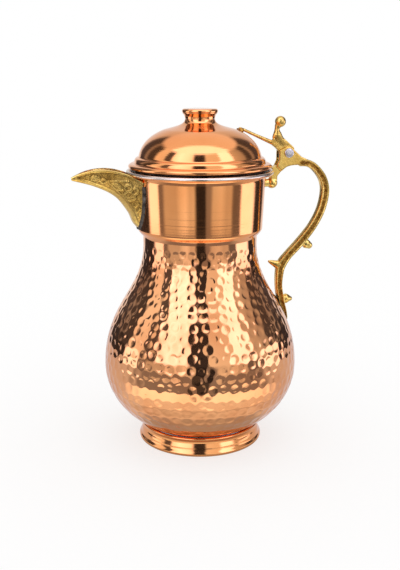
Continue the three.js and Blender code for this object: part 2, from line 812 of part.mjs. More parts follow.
// The ears' outline round the pin, from the crown over the pin and down to the lip
function earShape() {
  const shape = new THREE.Shape();
  shape.moveTo(PIN.x + 14.5, PIN.y - 4.8);
  shape.lineTo(PIN.x + 10.7, PIN.y - 3.2);
  shape.lineTo(PIN.x + EAR_RADIUS * 1.3, PIN.y + EAR_RADIUS * 0.1);
  shape.lineTo(PIN.x + EAR_RADIUS * 0.89, PIN.y + EAR_RADIUS * 0.46);
  shape.absarc(PIN.x, PIN.y, EAR_RADIUS, 0.15 * Math.PI, 0.7 * Math.PI, false);
  shape.lineTo(PIN.x - 7.6, PIN.y + 1.7);
  shape.lineTo(PIN.x - 7.7, PIN.y - 5.6);
  shape.lineTo(PIN.x - 9.5, PIN.y - 10);
  shape.lineTo(PIN.x - 5.5, PIN.y - 13.9);
  shape.splineThru([
    point(PIN.x - 1.7, PIN.y - 10.9),
    point(PIN.x + 2.9, PIN.y - 9.7),
    point(PIN.x + 8.1, PIN.y - 9.5),
    point(PIN.x + 12.4, PIN.y - 10),
  ]);
  return shape;
}

// The narrower web under the ears and the arm that goes down past the lip to the ball boss
function armShape(boss) {
  return [
    point(PIN.x + 16, PIN.y - 5.4),
    point(PIN.x + 10.7, PIN.y - 3.2),
    point(PIN.x - 8, PIN.y - 6),
    point(PIN.x - 9.8, PIN.y - 9.6),
    point(PIN.x - 13.2, PIN.y - 11.3),
    point(PIN.x - 13.6, PIN.y - 14),
    point(boss.x - 2, boss.z + 2),
    point(boss.x + 3.4, boss.z + 1.8),
    point(PIN.x - 8.6, PIN.y - 17.4),
    point(PIN.x - 5.5, PIN.y - 13.9),
    point(PIN.x - 1.7, PIN.y - 10.9),
    point(PIN.x + 2.9, PIN.y - 9.7),
    point(PIN.x + 8.1, PIN.y - 9.5),
    point(PIN.x + 16, PIN.y - 10.6),
  ].reverse();
}

// What the lever needs between the ears: a round pocket about the pin, open to the lid and upwards,
// with a ramp where the lever's hip comes down as the lid opens
function slotShape() {
  const start = 1.2;
  const end = 1.78;
  const shape = new THREE.Shape();
  shape.moveTo(PIN.x + SLOT_RADIUS * 1.56, PIN.y - SLOT_RADIUS * 0.2);
  shape.lineTo(PIN.x + SLOT_RADIUS * 1.56, PIN.y + 20);
  shape.lineTo(PIN.x - 25, PIN.y + 20);
  shape.lineTo(PIN.x - 25, PIN.y - 9.2);
  shape.lineTo(PIN.x - 8.6, PIN.y - 9.2);
  shape.absarc(PIN.x, PIN.y, SLOT_RADIUS, start * Math.PI, end * Math.PI, false);
  return shape;
}

function bossCentre() {
  return space(COLLAR_TOP_RADIUS + BOSS_OUTSET, 0, LIP_HEIGHT - BOSS_DROP);
}

// The flat head of the rivet stands clear of the neck's round and tapered inside
function rivetFace() {
  return COLLAR_TOP_RADIUS - COPPER_WALL - 3 * JOINT_GAP;
}

// The rivet's shank, from its head inside the neck into the ball boss
function rivetBar(radius, extra = 0) {
  const boss = bossCentre();
  const inside = space(rivetFace() - RIVET_HEAD_HEIGHT / 2, 0, boss.z);
  const end = space(COLLAR_TOP_RADIUS + RIVET_DEPTH + extra, 0, boss.z);
  return bar(inside, end, radius, RIVET_SEGMENTS);
}

function handleRivet() {
  const shank = rivetBar(RIVET_RADIUS);
  const boss = bossCentre();
  const outer = space(rivetFace(), 0, boss.z);
  const inner = outer.clone().setX(outer.x - RIVET_HEAD_HEIGHT);
  const head = bar(inner, outer, RIVET_HEAD_RADIUS, RIVET_SEGMENTS);
  return head.add(shank);
}

// A bud or spur: a tapering branch from the bar, round in section
function branch(places, radii) {
  const path = new THREE.CatmullRomCurve3(places);
  const steps = 5;
  const segments = 8;
  const rings = [];
  for (let i = 0; i <= steps; i++) {
    const t = i / steps;
    const centre = path.getPoint(t);
    const along = path.getTangent(t);
    const across = space(0, 1, 0);
    const up = new THREE.Vector3().crossVectors(along, across).normalize();
    const at = t * (radii.length - 1);
    const lower = Math.min(Math.floor(at), radii.length - 2);
    const radius = THREE.MathUtils.lerp(radii[lower], radii[lower + 1], at - lower);
    const ring = [];
    for (let j = 0; j < segments; j++) {
      const angle = (j / segments) * Math.PI * 2;
      ring.push(
        centre
          .clone()
          .addScaledVector(up, Math.cos(angle) * radius)
          .addScaledVector(across, -Math.sin(angle) * radius),
      );
    }
    rings.push(ring);
  }
  return loft(rings);
}

function handle() {
  const boss = bossCentre();
  const stations = handleStations();
  const at = (index, x, z) => space(stations[index].place.x + x, 0, stations[index].place.y + z);
  const spur = branch([at(5, 1, -0.5), at(5, -5, 1.6), at(5, -10.8, 2.6)], [3.2, 2.3, 0.8]);
  const upperBud = branch([at(7, 0, 2), at(7, 6.2, -1.6), at(7, 11, -4)], [2.9, 3, 1.4]);
  const lowerBud = branch([at(2, -0.5, 0), at(2, 5, 0.6), at(2, 9.4, -1.2)], [2.7, 3, 1.2]);
  const stemStart = space(COLLAR_TOP_RADIUS - 1, 0, boss.z);
  const stem = bar(stemStart, boss, BOSS_STEM_RADIUS, RIVET_SEGMENTS);
  const lump = handleBar()
    .add(plate(earShape(), CLEVIS_WIDTH))
    .add(plate(armShape(boss), HANDLE_THICKNESS))
    .add(ball(boss, BOSS_RADIUS))
    .add(stem)
    .add(spur)
    .add(upperBud)
    .add(lowerBud);
  return lump
    .subtract(plate(slotShape(), CLEVIS_GAP))
    .subtract(pinBar(PIN_RADIUS + PIN_CLEARANCE, CLEVIS_WIDTH + 2))
    .subtract(rivetBar(RIVET_RADIUS + PIN_CLEARANCE, JOINT_GAP))
    .subtract(neckCutter(JOINT_GAP))
    .subtract(bellyCutter(JOINT_GAP));
}

function bellyCutter(gap) {
  const line = bellyOutline().map((p) => point(p.x + gap, p.y));
  const last = line[line.length - 1];
  return turned([point(0, line[0].y), ...line, point(0, last.y)]);
}

// Solder round the tail's end, a thin collar on the belly
function tailSolder() {
  const shell = bellyCutter(SOLDER_RISE).subtract(bellyCutter(JOINT_GAP));
  const around = handleBar(SOLDER_WIDTH, TAIL_PAD_SHARE).subtract(handleBar(JOINT_GAP, 0.4));
  return shell.intersect(around);
}

// Hinge pin

function pinBar(radius, length) {
  const half = length / 2;
  return bar(space(PIN.x, -half, PIN.y), space(PIN.x, half, PIN.y), radius);
}

function hingePin() {
  const inner = CLEVIS_WIDTH / 2 + JOINT_GAP;
  let pin = pinBar(PIN_RADIUS, 2 * inner + 1);
  for (const side of [-1, 1]) {
    const steps = [
      [inner, PIN_HEAD_RADIUS],
      [inner + PIN_HEAD_HEIGHT * 0.55, PIN_HEAD_RADIUS],
      [inner + PIN_HEAD_HEIGHT * 0.9, PIN_HEAD_RADIUS * 0.72],
      [inner + PIN_HEAD_HEIGHT, PIN_HEAD_RADIUS * 0.3],
    ];
    const outline = [point(0, steps[0][0]), ...steps.map(([y, r]) => point(r, y))];
    outline.push(point(0, steps[3][0]));
    const geometry = new THREE.LatheGeometry(outline, KNOB_SEGMENTS);
    if (side < 0) geometry.rotateX(Math.PI);
    geometry.translate(PIN.x, 0, PIN.y);
    pin = pin.add(solid(geometry));
  }
  return pin;
}

// Thumb lever

// The flat part between the ears: the eye round the pin and the hips above it
function leverPlateShape() {
  const shape = new THREE.Shape();
  shape.moveTo(PIN.x + HINGE_EYE_RADIUS * 0.98, PIN.y + HINGE_EYE_RADIUS * 0.2);
  shape.lineTo(PIN.x + 5.4, PIN.y + 3.1);
  shape.lineTo(PIN.x + 4.5, PIN.y + 4.4);
  shape.lineTo(PIN.x - 3.8, PIN.y + 11.6);
  shape.lineTo(PIN.x - 12, PIN.y + 10.6);
  shape.lineTo(PIN.x - 13.6, PIN.y + 8.4);
  shape.splineThru([
    point(PIN.x - 12.4, PIN.y + 5.8),
    point(PIN.x - 10.2, PIN.y + 4.2),
    point(PIN.x - 7.6, PIN.y + 1.4),
    point(PIN.x - HINGE_EYE_RADIUS * 0.95, PIN.y - HINGE_EYE_RADIUS * 0.31),
  ]);
  shape.absarc(PIN.x, PIN.y, HINGE_EYE_RADIUS, 1.1 * Math.PI, 2.06 * Math.PI, false);
  return shape;
}

// The abstract figure: oval sections from the hips up to the neck, and a ball for the head
function figure() {
  const scale = FIGURE_HEIGHT / 28.1;
  const sections = [
    [-3.2, 5.2, 6.2, 1.7],
    [-6.2, 9.5, 6.1, 2.4],
    [-7.7, 12.8, 4.2, 2.9],
    [-8.1, 15.8, 2.9, 2.6],
    [-8.7, 18.4, 1.9, 1.9],
    [-7.9, 20.8, 2.6, 2.5],
  ];
  const segments = 10;
  const rings = sections.map(([x, z, width, thickness]) => {
    const ring = [];
    for (let j = 0; j < segments; j++) {
      const angle = (j / segments) * Math.PI * 2;
      ring.push(
        space(
          PIN.x + x + width * Math.cos(angle),
          thickness * Math.sin(angle),
          PIN.y + (z - 0.28 * width * Math.cos(angle)) * scale,
        ),
      );
    }
    return ring;
  });
  const headHeight = PIN.y + FIGURE_HEIGHT - FIGURE_HEAD_RADIUS;
  const head = ball(space(PIN.x - 6.1, 0, headHeight), FIGURE_HEAD_RADIUS);
  return loft(rings).add(head);
}

// The long arm from the shoulder to the dome
function leverArm(grow = 0) {
  const lift = ARM_RADIUS + ARM_SEAT_GAP;
  const tip = space(ARM_REACH, 0, domeHeight(ARM_REACH) + lift);
  const shoulder = space(PIN.x - 12.8, 0, PIN.y + 8);
  const elbow = space(
    THREE.MathUtils.lerp(tip.x, shoulder.x, 0.5),
    0,
    THREE.MathUtils.lerp(tip.z, shoulder.z, 0.5) + 0.2,
  );
  const rest = space(tip.x + 5, 0, tip.z - 1.6);
  const thin = ARM_RADIUS + grow;
  const start = tip.clone();
  start.x -= grow;
  return branch([start, rest, elbow, shoulder], [thin * 0.9, thin, thin * 1.05, thin * 1.5]);
}

function lidCutter(gap) {
  const line = lidOutline().map((p) => point(p.x + gap, p.y + gap));
  const low = BRIM_UNDERSIDE - SEAT_FLANGE_THICKNESS - JOINT_GAP;
  const top = line[line.length - 1];
  return turned([point(0, low), point(line[0].x, low), ...line, point(0, top.y)]);
}

function thumbLever() {
  return plate(leverPlateShape(), LEVER_THICKNESS)
    .add(figure())
    .add(leverArm())
    .subtract(pinBar(PIN_RADIUS + PIN_CLEARANCE, LEVER_THICKNESS + 4))
    .subtract(lidCutter(JOINT_GAP));
}

function leverArmSolder() {
  const centre = space(ARM_REACH + 1, 0, domeHeight(ARM_REACH + 1) + 0.6);
  return ball(centre, ARM_SOLDER_RADIUS)
    .subtract(lidCutter(JOINT_GAP))
    .subtract(leverArm(JOINT_GAP))
    .subtract(
      plate(
        [
          point(centre.x - 10, centre.z + 1.7),
          point(centre.x + 10, centre.z + 1.7),
          point(centre.x + 10, centre.z + 12),
          point(centre.x - 10, centre.z + 12),
        ],
        30,
      ),
    );
}

const jug = new THREE.Group();
jug.add(
  part("body_shell", bodyShell(), COPPER),
  part("neck_collar", neckCollar(), COPPER),
  part("collar_solder", collarSolder(), SOLDER),
  part("foot_ring", footRing(), COPPER),
  part("foot_solder", footSolder(), SOLDER),
  part("spout", spout(), BRASS),
  part("spout_solder", spoutSolder(), SOLDER),
  part("handle", handle(), BRASS),
  part("handle_rivet", handleRivet(), BRASS),
  part("tail_solder", tailSolder(), SOLDER),
  part("hinge_pin", hingePin(), ALUMINIUM),
);

const lid = new THREE.Group();
lid.add(
  part("lid_shell", lidShell(), COPPER),
  part("lid_inner_ring", lidInnerRing(), COPPER),
  part("lid_knob", lidKnob(), COPPER),
  part("knob_solder", knobSolder(), SOLDER),
  part("thumb_lever", thumbLever(), BRASS),
  part("lever_arm_solder", leverArmSolder(), SOLDER),
);
jug.add(lid);
jug.position.x = -AXIS_OFFSET;

export default jug;
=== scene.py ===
import math
import random

import bpy
import numpy as np
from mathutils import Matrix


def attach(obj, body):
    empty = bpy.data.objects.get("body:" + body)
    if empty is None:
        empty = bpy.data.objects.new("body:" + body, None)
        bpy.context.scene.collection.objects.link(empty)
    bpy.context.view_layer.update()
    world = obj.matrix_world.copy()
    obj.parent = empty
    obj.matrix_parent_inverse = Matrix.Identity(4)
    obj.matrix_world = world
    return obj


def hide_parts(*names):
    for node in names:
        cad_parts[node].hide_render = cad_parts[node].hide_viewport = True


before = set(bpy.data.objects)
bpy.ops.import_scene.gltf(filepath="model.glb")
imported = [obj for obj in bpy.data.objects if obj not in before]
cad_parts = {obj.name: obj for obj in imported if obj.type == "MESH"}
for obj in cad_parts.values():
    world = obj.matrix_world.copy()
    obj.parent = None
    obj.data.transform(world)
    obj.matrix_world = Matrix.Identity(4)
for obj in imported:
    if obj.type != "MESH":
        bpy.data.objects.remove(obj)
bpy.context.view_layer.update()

# Studio and camera. The jug stands in a white room, and only its metal mirrors what hangs there:
# softboxes at both sides, a dark gap where the camera stands, and dark corners further back. All
# sizes below are millimetres, and one factor turns them to metres.

MM = 0.001
AXIS = np.array([-3.5, 0.0, 0.0])
CAMERA_PLACE = (-175.7, -642.7, 289.3)
CAMERA_PITCH = 13.98
CAMERA_TURN = -15.0
PICTURE_HEIGHT = 570
FOCAL_PIXELS = 873.9
TOWARDS_CAMERA = (-0.2588, -0.9659, 0.0)
CAMERA_RIGHT = (0.9659, -0.2588, 0.0)


def linear(code):
    """A hex colour as sRGB, turned to linear red, green, blue and alpha."""
    values = [int(code[i : i + 2], 16) / 255 for i in (1, 3, 5)]
    return tuple(v / 12.92 if v <= 0.04045 else ((v + 0.055) / 1.055) ** 2.4 for v in values) + (1.0,)


def node(tree, kind, inputs=None, **settings):
    """Adds a node: settings are its own properties, inputs are values or sockets to link."""
    made = tree.nodes.new(kind)
    for name, value in settings.items():
        setattr(made, name, value)
    for key, value in (inputs or {}).items():
        if isinstance(value, bpy.types.NodeSocket):
            tree.links.new(value, made.inputs[key])
        else:
            made.inputs[key].default_value = value
    return made


def ramp(tree, fac, stops):
    """A colour ramp from stops of place and hex colour, level, or red, green, blue and alpha."""
    made = node(tree, "ShaderNodeValToRGB", {"Fac": fac})
    elements = made.color_ramp.elements
    while len(elements) < len(stops):
        elements.new(0.5)
    for element, (place, colour) in zip(elements, stops):
        if isinstance(colour, str):
            colour = linear(colour)
        elif not isinstance(colour, tuple):
            colour = (colour, colour, colour, 1.0)
        element.position = place
        element.color = colour
    return made.outputs["Color"]


def maths(tree, operation, *values, **settings):
    """A number worked out from numbers or sockets."""
    return node(tree, "ShaderNodeMath", dict(enumerate(values)), operation=operation, **settings).outputs[0]


def vector_maths(tree, operation, *values):
    """A vector, or a length or product, worked out from vectors or sockets."""
    made = node(tree, "ShaderNodeVectorMath", dict(enumerate(values)), operation=operation)
    return made.outputs["Value" if operation in ("DOT_PRODUCT", "LENGTH", "DISTANCE") else "Vector"]


def mixed(tree, share, first, second, **settings):
    """The first colour, turning into the second as the share goes from 0 to 1."""
    inputs = {0: share, 6: first, 7: second}
    return node(tree, "ShaderNodeMix", inputs, data_type="RGBA", **settings).outputs[2]


def mapped(tree, value, start, end, low=0.0, high=1.0):
    """A value's place between start and end, as a number from low to high."""
    limits = {"From Min": start, "From Max": end, "To Min": low, "To Max": high}
    return node(tree, "ShaderNodeMapRange", {"Value": value, **limits}).outputs[0]


camera_data = bpy.data.cameras.new("camera")
camera_data.sensor_fit = "VERTICAL"
camera_data.sensor_height = 24.0
camera_data.lens = camera_data.sensor_height * FOCAL_PIXELS / PICTURE_HEIGHT
camera = bpy.data.objects.new("camera", camera_data)
camera.location = [v * MM for v in CAMERA_PLACE]
camera.rotation_euler = (math.radians(90 - CAMERA_PITCH), 0.0, math.radians(CAMERA_TURN))
bpy.context.scene.collection.objects.link(camera)
bpy.context.scene.camera = camera
bpy.context.scene.view_settings.view_transform = "Standard"

# Levels of the room, in degrees from the camera's side, positive to the picture's right: once near
# the table, where the softboxes stand in front of the dark room, and once higher up. A rise is how
# steep a ray goes up, from 0 for level to 1 for straight up.
LOW_BANDS = (
    [(-180, 0.95), (-150, 0.9), (-144, 0.05), (-106, 0.04), (-99, 1.9), (-80, 1.9), (-76, 0.25), (-70, 0.25)]
    + [(-64, 0.72), (-42, 0.7), (-34, 1.0), (-26, 1.15), (-18, 0.8), (-11, 0.85)]
    + [(-6, 0.03), (9, 0.03), (12, 0.3), (19, 0.35), (23, 0.78), (38, 0.95), (48, 0.7), (57, 0.75)]
    + [(61, 0.2), (75, 0.2), (79, 2.2), (108, 2.0), (115, 0.04), (144, 0.05), (150, 0.9), (180, 0.95)]
)
HIGH_BANDS = (
    [(-180, 0.9), (-155, 0.8), (-148, 0.1), (-130, 0.08), (-122, 0.4), (-113, 0.08), (-97, 0.08)]
    + [(-91, 1.2), (-74, 1.1), (-70, 0.12), (-58, 0.12)]
    + [(-54, 1.9), (-40, 2.5), (-16, 1.9), (-10, 0.05), (9, 0.05), (13, 1.05), (37, 1.0)]
    + [(42, 2.5), (64, 2.4), (69, 0.75), (92, 0.5), (100, 0.1), (112, 0.08), (119, 0.45), (127, 0.08)]
    + [(146, 0.1), (154, 0.7), (180, 0.9)]
)
HIGH_BANDS_RISE = (0.02, 0.12)
CEILING_RISE = (0.69, 0.76)
WHITE = (1.0, 1.0, 1.0, 1.0)


def room_colour(level):
    """The dark parts of the room and the cores of its lamps are a little blue."""
    return (level, level, level * (1 + 0.5 * max(0.0, 0.6 - level) + 0.22 * max(0.0, level - 1)), 1.0)


# The ceiling, and from a little in front of the jug the lamp over the camera's side
CEILING_LEVELS = [(0.14, (1.05, 1.0, 1.05, 1.0)), (0.2, room_colour(2.2))]

world = bpy.data.worlds.new("studio")
world.use_nodes = True
bpy.context.scene.world = world
room = world.node_tree
room.nodes.clear()
direction = node(room, "ShaderNodeTexCoord").outputs["Generated"]
ahead, aside = (vector_maths(room, "DOT_PRODUCT", direction, way) for way in (TOWARDS_CAMERA, CAMERA_RIGHT))
turn_share = mapped(room, maths(room, "ARCTAN2", aside, ahead), -math.pi, math.pi)
low, high = (
    ramp(room, turn_share, [((a + 180) / 360, room_colour(level)) for a, level in levels])
    for levels in (LOW_BANDS, HIGH_BANDS)
)
height = node(room, "ShaderNodeSeparateXYZ", {0: direction}).outputs["Z"]
raised, above = (
    ramp(room, height, [(start, 0.0), (end, 1.0)]) for start, end in (HIGH_BANDS_RISE, CEILING_RISE)
)
overhead = ramp(room, ahead, CEILING_LEVELS)
around = mixed(room, above, mixed(room, raised, low, high), overhead)
mirror_rays = node(room, "ShaderNodeLightPath").outputs["Is Glossy Ray"]
seen = mixed(room, mirror_rays, WHITE, around)
background = node(room, "ShaderNodeBackground", {"Color": seen, "Strength": 1.0})
node(room, "ShaderNodeOutputWorld", {"Surface": background.outputs[0]})


def mesh_piece(name, points, faces, materials=(), face_materials=None):
    """A mesh object from points in millimetres from the body's axis."""
    mesh = bpy.data.meshes.new(name)
    places = (np.asarray(points, dtype=float) + AXIS) * MM
    mesh.from_pydata(places.tolist(), [], [tuple(f) for f in faces])
    for material in materials:
        mesh.materials.append(material)
    if face_materials is not None:
        mesh.polygons.foreach_set("material_index", np.asarray(face_materials, dtype=np.int32))
    mesh.polygons.foreach_set("use_smooth", [True] * len(mesh.polygons))
    mesh.update()
    made = bpy.data.objects.new(name, mesh)
    bpy.context.scene.collection.objects.link(made)
    return made


# The table is a white sheet, lit evenly so that only the jug's contact shade shows on it. The metal
# sees painted light and shade on it in place of a real table's: a painted shaded middle, a painted bright
# front, a painted dark gap in front of that, and past its edge the softboxes, which reach lower than the
# table.
TABLE_REACH = 4000.0
TABLE_EDGE = 600.0
TABLE_GLOW = 0.68
TABLE_GREY = (0.32, 0.32, 0.32, 1.0)
# What the metal sees: one level beside and behind the jug, and in front of it levels by the metres
# from its middle. Past the gap's start they are multiplied by the gap's levels, from left to right.
SIDE_LEVEL = (0.74, 0.74, 0.8, 1.0)
FRONT_SHARE = [(0.05, 0.0), (0.5, 1.0)]
FRONT_LEVELS = (
    [(0.0, 0.4), (0.07, 0.5), (0.084, 1.0), (0.098, 0.66), (0.112, 1.05), (0.125, 0.95)]
    + [(0.137, 1.65), (0.215, 1.65), (0.24, room_colour(0.3)), (0.6, room_colour(0.32))]
)
GAP_START = [(0.17, 0.0), (0.21, 1.0)]
GAP_SLOPE = 0.3
GAP_LEVELS = [(0.27, 1.0), (0.33, 0.25), (0.75, 0.25), (0.81, 1.0)]

table_material = bpy.data.materials.new("white_table")
table_material.use_nodes = True
tree = table_material.node_tree
tree.nodes.clear()
place = node(tree, "ShaderNodeTexCoord").outputs["Object"]
ahead, aside = (vector_maths(tree, "DOT_PRODUCT", place, way) for way in (TOWARDS_CAMERA, CAMERA_RIGHT))
far = vector_maths(tree, "LENGTH", place)
front_share = ramp(tree, maths(tree, "DIVIDE", ahead, far), FRONT_SHARE)
level = mixed(tree, front_share, SIDE_LEVEL, ramp(tree, far, FRONT_LEVELS))
gap = ramp(tree, mapped(tree, maths(tree, "DIVIDE", aside, ahead), -GAP_SLOPE, GAP_SLOPE), GAP_LEVELS)
level = mixed(tree, ramp(tree, far, GAP_START), level, gap, blend_type="MULTIPLY")
mirror_rays = node(tree, "ShaderNodeLightPath").outputs["Is Glossy Ray"]
open_part = maths(tree, "MULTIPLY", maths(tree, "GREATER_THAN", far, TABLE_EDGE * MM), mirror_rays)
glow = node(tree, "ShaderNodeEmission", {"Color": WHITE, "Strength": TABLE_GLOW})
sheet = node(tree, "ShaderNodeBsdfDiffuse", {"Color": TABLE_GREY})
even = node(tree, "ShaderNodeAddShader", {0: glow.outputs[0], 1: sheet.outputs[0]})
# Painted light and shade that only mirror rays see on the table
mirrored = node(tree, "ShaderNodeEmission", {"Color": level, "Strength": 1.0})
by_ray = node(tree, "ShaderNodeMixShader", {0: mirror_rays, 1: even.outputs[0], 2: mirrored.outputs[0]})
through = node(tree, "ShaderNodeBsdfTransparent")
table_mix = node(tree, "ShaderNodeMixShader", {0: open_part, 1: by_ray.outputs[0], 2: through.outputs[0]})
node(tree, "ShaderNodeOutputMaterial", {"Surface": table_mix.outputs[0]})
table = mesh_piece(
    "table",
    [(x * TABLE_REACH, y * TABLE_REACH, 0) for x, y in ((-1, -1), (1, -1), (1, 1), (-1, 1))],
    [(0, 1, 2, 3)],
    [table_material],
)

# Hammered body. One sheet of copper, raised and hammered outside with a round-faced hammer in
# staggered rows, polished afterwards, and wiped with tin inside. Its top is drawn out into a sleeve
# that the neck collar covers.

COPPER_WALL = 1.2
JOINT_GAP = 0.3
BOTTOM_HEIGHT = 7.0
BELLY_DROP = 58.5
BELLY_HEIGHT = 61.5
BELLY_RADIUS = 75.4
SHOULDER_PULL = 47.5
WAIST_PULL = 36.5
WAIST_HEIGHT = 157.0
WAIST_RADIUS = 43.9
SEAM_HEIGHT = 165.5
STEP_RISE = 5.0
LAP_HEIGHT = 7.0
COLLAR_FOOT_RADIUS = 48.0
SLEEVE_RADIUS = COLLAR_FOOT_RADIUS - COPPER_WALL - JOINT_GAP
BODY_SEGMENTS = 456
BODY_STEP = 1.0
INSIDE_STEP = 8.0
FLOOR_RINGS = (0, 9, 18, 24)
PLAIN_STEP = 3
MARK_LOW = 22.0
MARK_HIGH = 157.0
MARK_MARGIN = 5.0
MARK_FADE = 6.0
MARK_PITCH = 8.0
MARK_SIZE = 3.45
MARK_DEPTH = 0.085
MARK_LEAN = 0.07
ROW_SHARE = 0.86
WAIST_PITCH_LOSS = 0.17
WAIST_SIZE_LOSS = 0.12
LOW_MARKS_TOP = 53.5
LOW_SIZE_GAIN = 1.16
SIZE_RANGE = (0.85, 1.1)
STRAY_ROW = 0.2
STRAY_ALONG = 0.15
STRAY_UP = 1.1


def bezier(a, b, c, d, steps=24):
    """A curve from a to d that leaves towards b and arrives from c."""
    t = np.linspace(0, 1, steps + 1)[:, None]
    a, b, c, d = (np.array(p, dtype=float) for p in (a, b, c, d))
    return (1 - t) ** 3 * a + 3 * (1 - t) ** 2 * t * b + 3 * (1 - t) * t**2 * c + t**3 * d


def arc(centre, radii, start, end, steps=12):
    """Points round a centre, angles in degrees from the outward direction."""
    angles = np.radians(np.linspace(start, end, steps + 1))
    return np.column_stack([centre[0] + radii[0] * np.cos(angles), centre[1] + radii[1] * np.sin(angles)])


def evenly(line, step):
    """The same line with points about one step apart."""
    line = np.asarray(line, dtype=float)
    along = np.concatenate([[0], np.cumsum(np.linalg.norm(np.diff(line, axis=0), axis=1))])
    count = max(2, int(round(along[-1] / step)) + 1)
    places = np.linspace(0, along[-1], count)
    return np.column_stack([np.interp(places, along, line[:, 0]), np.interp(places, along, line[:, 1])])


def directions(line):
    """Which way the line runs at each of its points."""
    along = np.gradient(np.asarray(line, dtype=float), axis=0)
    return along / (np.linalg.norm(along, axis=1)[:, None] + 1e-12)


def sideways(line, distance):
    """The line moved to its right, which is outwards where it runs up."""
    line, along = np.asarray(line, dtype=float), directions(line)
    return np.column_stack([line[:, 0] + along[:, 1] * distance, line[:, 1] - along[:, 0] * distance])


def round_turns(count):
    """Angles evenly round a circle."""
    return np.linspace(0, 2 * np.pi, count, endpoint=False)


def turned(profile, segments, ring_materials=None):
    """Turns a profile of radius and height, which closes on itself or ends on the axis."""
    profile = np.asarray(profile, dtype=float)
    closed = profile[0, 0] > 1e-6
    points, rings = [], []
    angles = round_turns(segments)
    for radius, z in profile:
        if radius < 1e-6:
            rings.append([len(points)] * segments)
            points.append((0.0, 0.0, z))
        else:
            rings.append(list(range(len(points), len(points) + segments)))
            points.extend(zip(radius * np.cos(angles), radius * np.sin(angles), [z] * segments))
    faces, slots = [], []
    count = len(rings) if closed else len(rings) - 1
    for i in range(count):
        low, high = rings[i], rings[(i + 1) % len(rings)]
        for j in range(segments):
            k = (j + 1) % segments
            face = [low[j], low[k], high[k], high[j]]
            face = [v for n, v in enumerate(face) if v not in face[:n]]
            if len(face) > 2:
                faces.append(face)
                slots.append(ring_materials[i] if ring_materials else 0)
    return np.array(points), faces, slots


def flare(steps=10):
    """The sweep under the collar, from the waist out to the sleeve."""
    t = np.linspace(0, 1, steps + 1)
    out = t * t * (3 - 2 * t)
    return np.column_stack([WAIST_RADIUS + (SLEEVE_RADIUS - WAIST_RADIUS) * out, SEAM_HEIGHT + t * STEP_RISE])


def belly_outline():
    """The body's outside from the floor's edge to the top of the waist."""
    start = math.degrees(math.asin(-(BELLY_HEIGHT - BOTTOM_HEIGHT) / BELLY_DROP))
    bowl = arc((0, BELLY_HEIGHT), (BELLY_RADIUS, BELLY_DROP), start, 0, 40)
    shoulder = bezier(
        (BELLY_RADIUS, BELLY_HEIGHT),
        (BELLY_RADIUS, BELLY_HEIGHT + SHOULDER_PULL),
        (WAIST_RADIUS, WAIST_HEIGHT - WAIST_PULL),
        (WAIST_RADIUS, WAIST_HEIGHT),
        60,
    )
    return np.vstack([bowl, shoulder[1:], [(WAIST_RADIUS, SEAM_HEIGHT)]])


def metal(name, colour, roughness):
    """A metal's material with its tree, its shader and its Object coordinates."""
    material = bpy.data.materials.new(name)
    material.use_nodes = True
    tree = material.node_tree
    shader = tree.nodes["Principled BSDF"]
    shader.inputs["Base Color"].default_value = linear(colour)
    shader.inputs["Metallic"].default_value = 1.0
    shader.inputs["Roughness"].default_value = roughness
    return material, tree, shader, node(tree, "ShaderNodeTexCoord").outputs["Object"]


def noise(tree, place, scale, detail):
    """Soft random spots, as a number from 0 to 1."""
    inputs = {"Vector": place, "Scale": scale, "Detail": detail}
    return node(tree, "ShaderNodeTexNoise", inputs).outputs["Fac"]


def bump(tree, height, strength, distance, **under):
    """Small unevenness from a height, over another bump if one is given as Normal."""
    inputs = {"Height": height, "Strength": strength, "Distance": distance, **under}
    return node(tree, "ShaderNodeBump", inputs).outputs[0]


def finish(tree, shader, sockets):
    """Links each socket to the shader's input of that name."""
    for name, socket in sockets.items():
        tree.links.new(socket, shader.inputs[name])


def spotted_metal(name, colour, roughness, spots, tones, unevenness):
    """A metal whose spots, of a scale and a detail, are toned and uneven."""
    material, tree, shader, place = metal(name, colour, roughness)
    spots = noise(tree, place, *spots)
    finish(tree, shader, {"Base Color": ramp(tree, spots, tones), "Normal": bump(tree, spots, *unevenness)})
    return material


# Hammered copper, polished on a wheel: a mirror with a faint haze, warmer and duller in patches
# where fingers and air have toned it.
hammered_copper, tree, shader, place = metal("hammered_copper", "#F2AE78", 0.07)
patches = noise(tree, place, 38.0, 4.0)
copper_finish = {
    "Base Color": ramp(tree, patches, [(0.35, "#F2AE78"), (0.7, "#E69A66")]),
    "Roughness": ramp(tree, patches, [(0.3, 0.04), (0.75, 0.1)]),
    "Normal": bump(tree, noise(tree, place, 900.0, 2.0), 0.06, 0.0002),
}
finish(tree, shader, copper_finish)

# Tin wiped on hot by hand: grey white, soft, with streaks
tin_tones = [(0.3, "#F2E4D6"), (0.7, "#CDBBAA")]
tinned_copper = spotted_metal("wiped_tin", "#D9D2C8", 0.3, (60.0, 5.0), tin_tones, (0.2, 0.0005))


